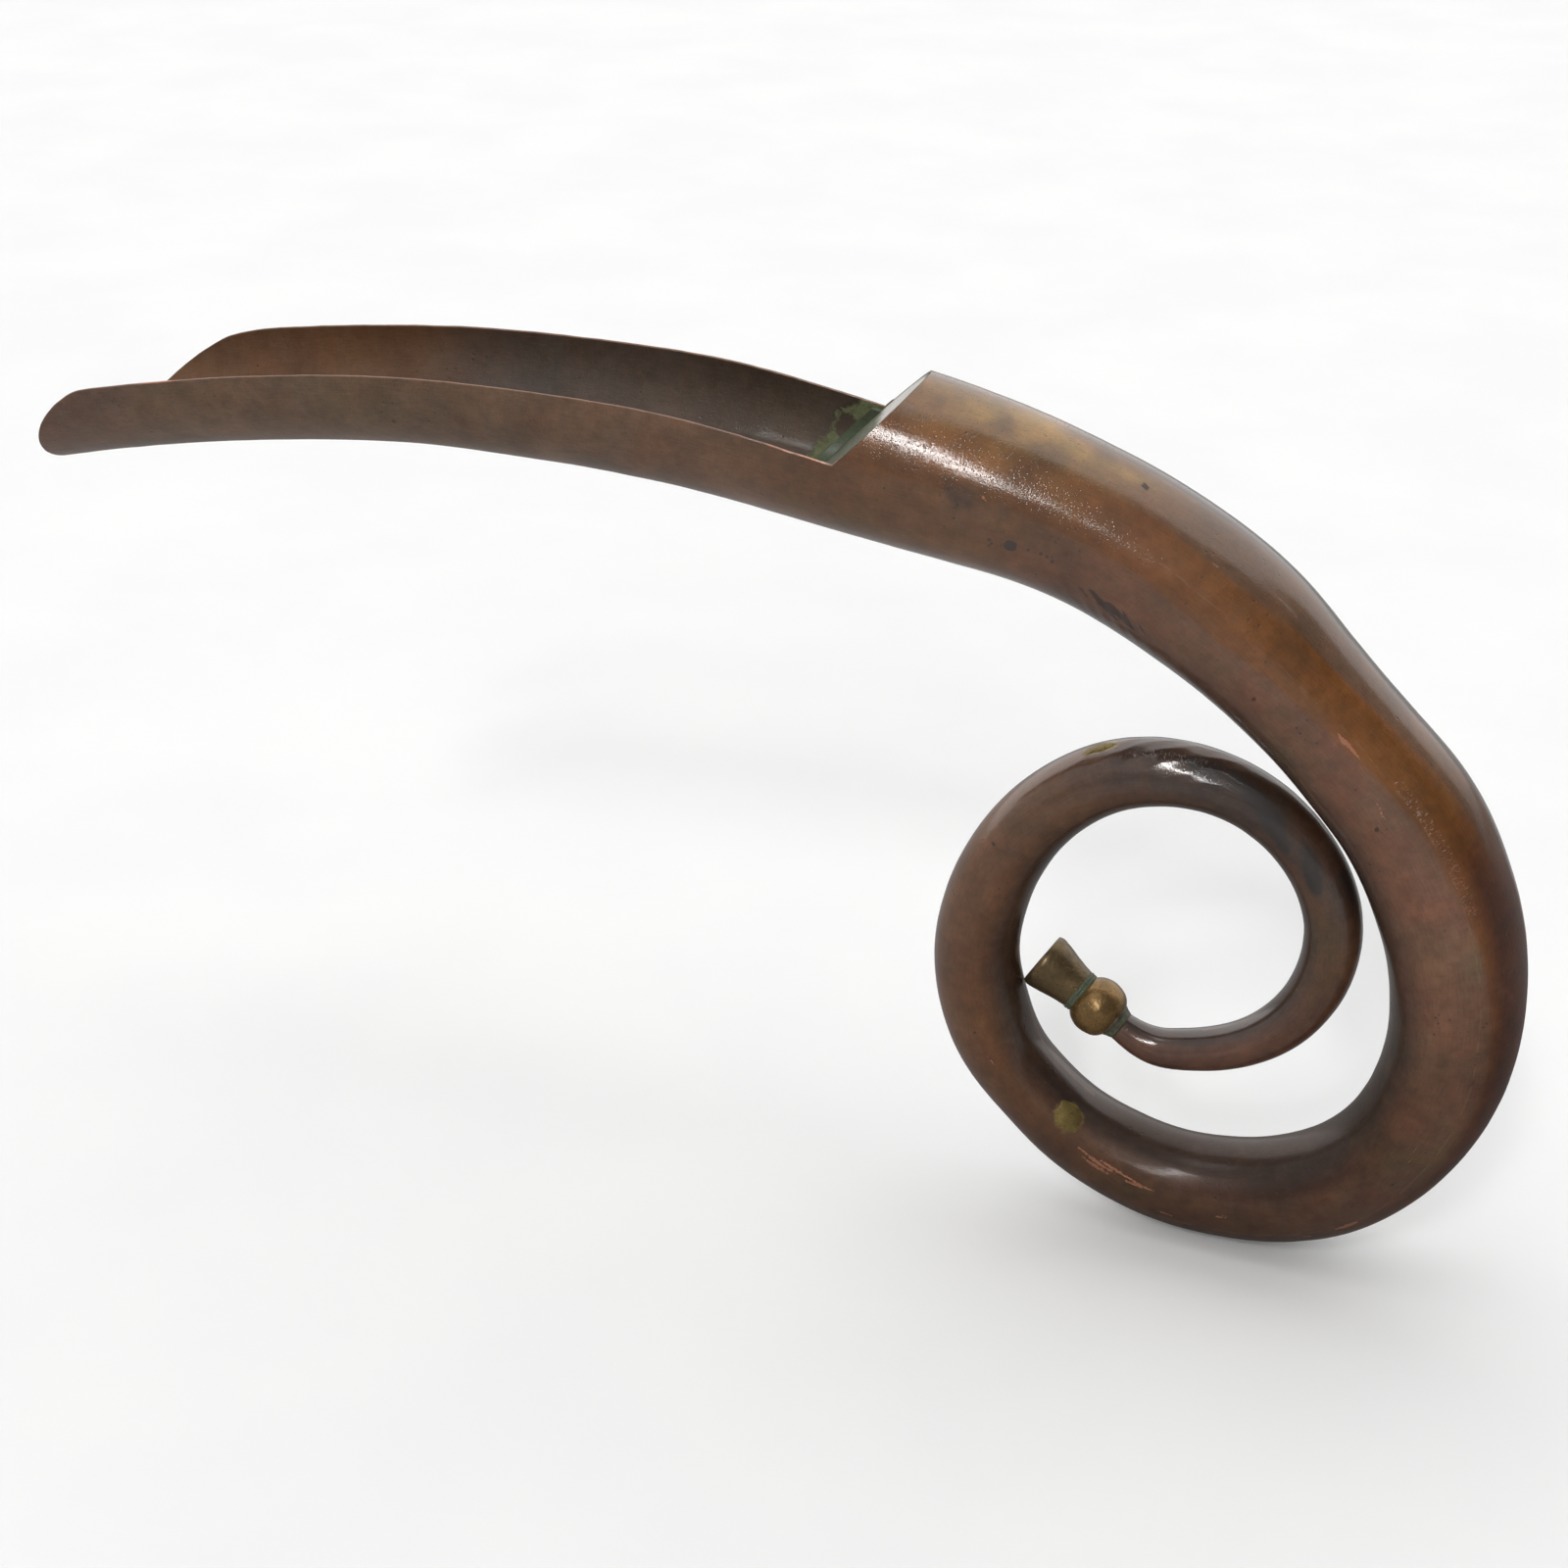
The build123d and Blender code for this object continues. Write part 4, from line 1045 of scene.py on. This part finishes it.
def copper_channels(g):
    """Painted attributes and the noises that several layers share."""
    skin = SimpleNamespace(pos=g.coords(), run=g.attr("of_run"), base=g.attr("of_col", "Color"))
    skin.tarnish, skin.pitting, skin.polish = g.split(g.attr("of_wear"))
    skin.blue, skin.brass, skin.marks = g.split(g.attr("of_spots"))
    skin.scratch = g.attr("of_scratch", "Fac")
    skin.green = g.attr("of_green", "Fac")
    skin.spot, skin.wrinkle, skin.gloss = g.split(g.attr("of_stain_and_crease_shade"))
    skin.cloud = g.noise(skin.pos, scale=55, detail=5, rough=0.6)
    skin.mottle = g.noise(skin.pos, scale=260, detail=5, rough=0.62, distortion=0.4)
    skin.speck = g.noise(skin.pos, scale=1500, detail=4, rough=0.6)
    # grain runs along the tube, hair lines run round it
    lengthwise = g.vmath("MULTIPLY", skin.run, (0.09, 0.9, 0.9))
    skin.grain = g.noise(lengthwise, scale=2.6, detail=5, rough=0.6)
    crosswise = g.vmath("MULTIPLY", skin.run, (1.3, 0.14, 0.14))
    skin.hair = g.noise(crosswise, scale=2.2, detail=4, rough=0.6, distortion=0.6)
    return skin


def copper_patina(g, skin):
    """Painted colour with light and warm clouds, oxide, pits and specks."""
    pos = skin.pos
    light = (g.ramp(skin.cloud, 0.3, 0.72, low=0.84, high=1.16)
             * g.ramp(skin.mottle, 0.3, 0.7, low=0.87, high=1.12)
             * g.ramp(skin.grain, 0.3, 0.7, low=0.91, high=1.09)
             * g.ramp(skin.hair, 0.35, 0.65, low=0.96, high=1.04))
    scale = g.node("ShaderNodeVectorMath", operation="SCALE")
    colour = g.wire(scale, {0: skin.base, "Scale": light})
    warm = g.ramp(g.noise(pos, scale=120, detail=4, rough=0.6, distortion=0.5), 0.36, 0.66)
    tone = g.mix(warm, (0.97, 1.01, 1.03), (1.04, 0.99, 0.94))
    colour = g.vmath("MULTIPLY", colour, tone)
    # patches of darker oxide with ragged edges
    skin.oxide = g.ramp(skin.tarnish * 0.55 + skin.mottle * 0.8, 0.52, 0.86)
    colour = g.tint(colour, skin.oxide * 0.32, (74, 58, 50))
    # small dark pits, gathered in patches
    patches = g.noise(pos, scale=90, detail=3, rough=0.6)
    skin.dots = (g.ramp(g.voronoi(pos, scale=420), 0.24, 0.10)
                 * g.ramp(patches, 0.5, 0.66))
    colour = g.tint(colour, skin.dots * 0.55, (56, 44, 40))
    skin.fine = (g.ramp(skin.speck, 0.60, 0.76) * (skin.pitting * 0.55)).clamped()
    return g.tint(colour, skin.fine, (62, 48, 42))


def copper_stains_and_crease_shade(g, skin, colour):
    """Dark spots, inked marks and painted shade in the creases."""
    pos = skin.pos
    ragged = skin.spot + (g.noise(pos, scale=900, detail=3, rough=0.6) - 0.5) * 0.7
    skin.spot_mask = g.ramp(ragged, 0.25, 0.6) * g.ramp(skin.spot, 0.02, 0.12)
    colour = g.tint(colour, skin.spot_mask * 0.8, (50, 44, 40))
    # round dark spot under the first bend and the small dashes either side of it
    wobble = (g.noise(pos, scale=900, detail=3, rough=0.6) - 0.5) * 0.9
    for arc, angle, size, strength in INK_MARKS:
        radius, turn = float(line_at(np.array([arc]))[2][0]), math.radians(angle)
        centre = (arc, radius * math.cos(turn), radius * math.sin(turn))
        away = g.vmath("DISTANCE", skin.run, centre) + wobble * min(1.0, size)
        inked = g.ramp(away, size * 1.12, size * 0.86)
        colour = g.tint(colour, inked * strength, (52, 47, 43))
    # painted shade in the creases of the bending wrinkles
    torn = skin.wrinkle + (g.noise(pos, scale=700, detail=3, rough=0.65) - 0.5) * 1.1
    skin.crease = g.ramp(torn, 0.38, 0.72) * g.ramp(skin.wrinkle, 0.02, 0.2)
    return g.tint(colour, skin.crease * 0.75, (46, 33, 28))


def copper_marks(g, skin, colour):
    """Rubbed copper, heat tarnish, brass, scratches, chatter marks with painted glints, and
    verdigris.
    """
    pos, mottle = skin.pos, skin.mottle
    # rubbed specks where the copper shows
    rubbed = (g.ramp(g.noise(pos, scale=900, detail=3, rough=0.7), 0.63, 0.74)
              * g.ramp(g.noise(pos, scale=70, detail=3, rough=0.6), 0.50, 0.68))
    colour = g.tint(colour, rubbed * 0.30, (176, 118, 88))
    # blue-black heat tarnish
    heat = (g.ramp(skin.blue + (mottle - 0.5) * 1.2, 0.32, 0.85)
            * g.ramp(skin.blue, 0.02, 0.2))
    colour = g.tint(colour, heat * 0.85, (46, 42, 40))
    # brass smeared round the pads
    brass = (g.ramp(skin.brass + (mottle - 0.5) * 0.9, 0.35, 0.75)
             * g.ramp(skin.brass, 0.03, 0.2))
    colour = g.tint(colour, brass * 0.75, (150, 128, 62))
    # bright copper scratches
    torn = skin.scratch + (g.noise(pos, scale=1100, detail=3, rough=0.7) - 0.5) * 1.1
    skin.bare = g.ramp(torn, -0.12, 0.12) * g.ramp(skin.scratch, -0.5, -0.1)
    colour = g.tint(colour, skin.bare * 0.85, (206, 140, 108))
    # chatter marks of the seam, and painted glints on the planished top of the inner coil
    streaks = g.noise(g.vmath("MULTIPLY", skin.run, (2.3, 0.8, 0.8)),
                      scale=1.0, detail=4, rough=0.75, distortion=0.4)
    skin.chatter = g.ramp(skin.marks, 0.1, 0.5) * g.ramp(streaks, 0.55, 0.64)
    colour = g.tint(colour, skin.chatter * 0.5, (206, 180, 166))
    # verdigris at the foot of the plate
    crumbs = skin.green + (g.noise(pos, scale=420, detail=5, rough=0.65) - 0.5) * 1.3
    skin.crust = g.ramp(crumbs, 0.35, 0.75) * g.ramp(skin.green, 0.0, 0.15)
    greens = g.noise(pos, scale=800, detail=3, rough=0.6)
    verdigris = g.mix(greens, srgb(64, 70, 46), srgb(146, 152, 108))
    return g.mix(skin.crust * 0.85, colour, verdigris)


def copper_height(g, skin):
    """Relief for the bump: sheet texture less pits and scratches, plus crust."""
    texture = g.noise(skin.pos, scale=620, detail=5, rough=0.62)
    pits = g.ramp(g.voronoi(skin.pos, scale=1250), 0.34, 0.05) * (skin.pitting * 0.9)
    return (texture * 0.55 + skin.hair * 0.35 + skin.grain * 0.25 - pits - skin.dots * 0.9
            - skin.bare * 0.8 + skin.crust * 1.6 + skin.chatter * 0.8 - skin.crease * 1.6)


def copper_material(name):
    material = bpy.data.materials.new(name)
    g = Graph(material)
    skin = copper_channels(g)
    colour = copper_marks(g, skin, copper_stains_and_crease_shade(g, skin, copper_patina(g, skin)))
    uneven = skin.mottle - 0.5
    rough = (0.50 + uneven * 0.20 + skin.tarnish * 0.12 - (skin.polish - 0.45) * 0.22
             + skin.crust * 0.35 + skin.fine * 0.25).clamped()
    height = copper_height(g, skin)
    metal = (0.46 - skin.crust * 0.4 + skin.bare * 0.4 - skin.oxide * 0.2).clamped()
    coat = (skin.gloss * (1.0 - skin.crust)).clamped() * (1.0 - skin.spot_mask * 0.6)
    g.principled(
        Base_Color=colour, Metallic=metal, Roughness=rough,
        Normal=g.bump(height, distance=0.00010),
        Coat_Weight=coat, Coat_Roughness=(0.10 + uneven * 0.16).clamped(), Coat_IOR=1.65,
        Coat_Normal=g.bump(height, distance=0.000045))
    return material


# ---------------------------------------------------------------- brass, solder and plate
def cast_material(name, tones, dark, metallic, rough, green=0.0):
    """Turned or cast metal: two tones, dark stains and, where green > 0, verdigris."""
    material = bpy.data.materials.new(name)
    g = Graph(material)
    pos = g.coords()
    broad = g.noise(pos, scale=180, detail=5, rough=0.62)
    fine = g.noise(pos, scale=700, detail=5, rough=0.65, distortion=0.3)
    colour = g.mix(g.ramp(broad, 0.32, 0.68), srgb(*tones[0]), srgb(*tones[1]))
    colour = g.tint(colour, g.ramp(fine, 0.52, 0.74) * 0.6, dark)
    spots = g.ramp(g.voronoi(pos, scale=900), 0.28, 0.08)
    colour = g.tint(colour, spots * g.ramp(broad, 0.45, 0.62, high=0.7), dark)
    crust = 0.0
    if green > 0:
        crumbs = g.noise(pos, scale=420, detail=5, rough=0.68) + (green - 0.5)
        crust = g.ramp(crumbs, 0.42, 0.62)
        greens = g.noise(pos, scale=1300, detail=3, rough=0.6)
        verdigris = g.mix(greens, srgb(52, 64, 48), srgb(98, 114, 84))
        colour = g.mix(crust * 0.85, colour, verdigris)
    # crust may be a plain number here, so its products are made as nodes by hand
    roughness = rough + (fine - 0.5) * 0.3
    roughness = (roughness + g.math("MULTIPLY", crust, 0.3)).clamped()
    grit = g.noise(pos, scale=2300, detail=3, rough=0.6)
    height = fine * 0.8 + grit * 0.3 - spots * 0.7
    metal = (metallic - g.math("MULTIPLY", crust, metallic * 0.85)).clamped()
    g.principled(Base_Color=colour, Metallic=metal, Roughness=roughness,
                 Normal=g.bump(height, distance=0.00012),
                 Coat_Weight=0.25, Coat_Roughness=0.25)
    return material


def plate_material(clear_z):
    """Painted reflection of the pale studio in grey white above clear_z (metres), verdigris and dark
    solder below, dark at the rim.
    """
    material = bpy.data.materials.new("plate_metal")
    g = Graph(material)
    pos = g.source("ShaderNodeNewGeometry", "Position")
    low_corner, high_corner = (np.array(v, float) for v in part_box("end_plate"))
    mid_x, _, mid_z = (low_corner + high_corner) / 2
    half_long = (high_corner[0] - low_corner[0]) / 2 / math.cos(SLOPE)
    half_wide = (high_corner[1] - low_corner[1]) / 2
    x, y, z = g.split(pos)
    broad = g.noise(pos, scale=190, detail=5, rough=0.62)
    fine = g.noise(pos, scale=800, detail=5, rough=0.65, distortion=0.3)
    # distance from the plate's middle: 1 at its rim
    along = ((x - mid_x) * (math.cos(SLOPE) / half_long)
             + (z - mid_z) * (math.sin(SLOPE) / half_long))
    out = g.math("SQRT", along * along + g.math("POWER", y / half_wide, 2.0))
    # grey white is a painted reflection of the pale studio on the copper plate
    colour = g.mix(g.ramp(broad, 0.32, 0.68), srgb(196, 190, 182), srgb(222, 218, 212))
    colour = g.tint(colour, g.ramp(fine, 0.5, 0.72) * 0.6, (120, 106, 92))
    # the dark foot, its upper limit tilted and uneven
    level = z + y * 0.27 + (broad - 0.5) * 0.006
    foot = g.ramp(level, clear_z + 0.0015, clear_z - 0.002)
    dark = g.mix(g.ramp(fine, 0.38, 0.62), srgb(44, 44, 32), srgb(92, 98, 68))
    colour = g.mix(foot * 0.94, colour, dark)
    # the dark rim, wider at the front
    out = out + g.ramp(y, 0.0, -0.004, high=0.06)
    rim = g.ramp(out + (fine - 0.5) * 0.05, 0.90, 0.955)
    colour = g.tint(colour, rim * 0.9, (38, 30, 24))
    g.principled(Base_Color=colour, Metallic=0.5 - foot * 0.45, Roughness=0.42 + foot * 0.3,
                 Normal=g.bump(fine + foot * broad, distance=0.00015))
    return material


copper = copper_material("tarnished_copper")
pad_metal = cast_material("pad_brass", tones=((104, 86, 46), (134, 116, 62)),
                          dark=(66, 50, 32), metallic=0.6, rough=0.46)
cup_brass = cast_material("cup_brass", tones=((92, 76, 52), (114, 94, 62)),
                          dark=(52, 45, 34), metallic=0.7, rough=0.36)
knop_brass = cast_material("knop_brass", tones=((122, 96, 58), (152, 118, 70)),
                           dark=(64, 50, 36), metallic=0.75, rough=0.30)
solder = cast_material("solder_verdigris", tones=((66, 66, 52), (88, 88, 70)),
                       dark=(40, 42, 34), metallic=0.4, rough=0.55, green=0.56)
collar_metal = cast_material("collar_metal", tones=((72, 66, 54), (92, 86, 70)),
                             dark=(44, 42, 36), metallic=0.5, rough=0.5, green=0.46)
plate_metal = plate_material(clear_z=0.2464)
sleeve_metal = cast_material("sleeve_copper", tones=((128, 84, 60), (146, 98, 70)),
                             dark=(80, 58, 46), metallic=0.8, rough=0.4)

# Made pieces: object, CAD piece it replaces, material, slot
MADE = (
    (bell, "bell_section", copper, "bell_section"),
    (middle, "middle_coil_tube", copper, "middle_coil_tube"),
    (inner, "inner_coil_tube", copper, "inner_coil_tube"),
    (bell_seam, "bell_seam_braze", copper, "seam_brass"),
    (middle_seam, "middle_coil_seam_braze", copper, "seam_brass"),
    (inner_seam, "inner_coil_seam_braze", copper, "seam_brass"),
    (low_pad, "lower_braze_patch", pad_metal, "braze_patch"),
    (up_pad, "upper_braze_patch", pad_metal, "braze_patch"),
    (cup, "mouthpiece_cup", cup_brass, "mouthpiece_brass"),
    (solder_ring, "cup_solder_ring", solder, "solder"),
    (knop, "mouthpiece_knop", knop_brass, "mouthpiece_brass"),
    (collar, "mouthpiece_collar", collar_metal, "collar"),
)
# CAD pieces that stay: piece, material, slot
KEPT = (
    ("end_plate", plate_metal, "end_plate"),
    ("end_plate_solder", solder, "solder"),
    ("lower_joint_sleeve", sleeve_metal, "sleeve"),
    ("upper_joint_sleeve", sleeve_metal, "sleeve"),
    ("mouthpiece_stem", knop_brass, "mouthpiece_brass"),
    ("stem_solder", solder, "solder"),
)
for obj, piece, material, slot in MADE:
    obj.data.materials.append(material)
    for polygon in obj.data.polygons:
        polygon.material_index = 0
    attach(obj, "root")
    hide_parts(piece)

for piece, material, slot in KEPT:
    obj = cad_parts[piece]
    obj.data.materials.clear()
    obj.data.materials.append(material)


# ---------------------------------------------------------------- floor, light and camera, metres
def floor_material():
    """Pale floor that reflections see as a darker grey, with painted shadow darkest near the horn.
    """
    material = bpy.data.materials.new("floor")
    g = Graph(material)
    pos = g.coords()
    tone = g.ramp(g.noise(pos, scale=9, detail=3, rough=0.5), 0.3, 0.7)
    colour = g.mix(tone, (0.92, 0.92, 0.92), (0.945, 0.945, 0.94))
    pale = g.shader("ShaderNodeBsdfDiffuse", Color=colour)
    away = g.vmath("DISTANCE", pos, (0.22, -0.02, 0.0))
    shade = g.ramp(away, 0.10, 0.34, low=0.20, high=0.38)
    grey = g.wire(g.node("ShaderNodeCombineColor"), {0: shade, 1: shade, 2: shade})
    dim = g.shader("ShaderNodeBsdfDiffuse", Color=grey)
    g.surface(g.mix_shaders("Is Glossy Ray", pale, dim))
    return material


# Light from all round, and lamps: direction, inner and outer half angle, strength
AMBIENT = 0.26
LAMPS = (
    ((0.0, 1.0, 0.0), 90, 98, 0.90),
    ((-1.0, -0.1, 0.45), 20, 60, 0.3),
    ((-0.2, -0.12, 0.96), 6, 16, 1.6),
    ((-0.09, -0.65, 0.76), 1.7, 3.3, 34.0),
    ((-0.05, -0.71, 0.705), 1.8, 3.3, 42.0),
    ((0.00, -0.785, 0.615), 1.7, 3.1, 44.0),
    ((0.05, -0.855, 0.515), 1.3, 2.7, 44.0),
    ((0.09, -0.90, 0.42), 0.9, 2.1, 30.0),
    ((0.80, 0.05, 0.60), 1.5, 3.0, 8.0),
)
# Dark patches: direction, inner and outer half angle, share of light taken away
SHADES = (((0.95, 0.05, 0.30), 21, 29, 0.82), ((0.75, -0.55, 0.2), 14, 34, 0.5))


def build_world():
    """Soft studio light; the camera itself sees a plain pale background."""
    world = bpy.data.worlds.new("studio")
    bpy.context.scene.world = world
    g = Graph(world, "ShaderNodeOutputWorld")
    sky = g.coords("Generated")

    def lobe(direction, inner_angle, outer_angle, height):
        facing_it = g.vmath("DOT_PRODUCT", sky, tuple(Vector(direction).normalized()))
        return g.ramp(facing_it, math.cos(math.radians(outer_angle)),
                      math.cos(math.radians(inner_angle)), high=height)

    total = AMBIENT
    for lamp in LAMPS:
        total = total + lobe(*lamp)
    for shade in SHADES:
        total = total * (1.0 - lobe(*shade))
    light = g.shader("ShaderNodeBackground", Color=(1, 1, 1, 1), Strength=total)
    seen = g.shader("ShaderNodeBackground", Color=(0.95, 0.95, 0.95, 1), Strength=1.0)
    g.surface(g.mix_shaders("Is Camera Ray", light, seen))
    world.cycles.sampling_method = "MANUAL"
    world.cycles.sample_map_resolution = 1024


def build_camera():
    data = bpy.data.cameras.new("camera")
    data.sensor_width = 36.0
    data.lens = 54.0
    data.clip_start, data.clip_end = 0.01, 100.0
    camera = bpy.data.objects.new("camera", data)
    bpy.context.scene.collection.objects.link(camera)
    right = Vector((0.94362, 0.33104, 0.0))
    up = Vector((-0.1618, 0.46121, 0.87241))
    forward = Vector((-0.2888, 0.82322, -0.48877))
    place = Matrix.Translation((0.2092066, -0.5729638, 0.4685835))
    camera.matrix_world = place @ Matrix((right, up, -forward)).transposed().to_4x4()
    bpy.context.scene.camera = camera


bpy.ops.mesh.primitive_circle_add(vertices=96, radius=14.0, fill_type="NGON", location=(0, 0, 0))
floor = bpy.context.object
floor.name = "floor"
floor.data.materials.append(floor_material())
build_world()
build_camera()
bpy.context.scene.view_settings.view_transform = "Standard"
bpy.context.scene.view_settings.look = "None"
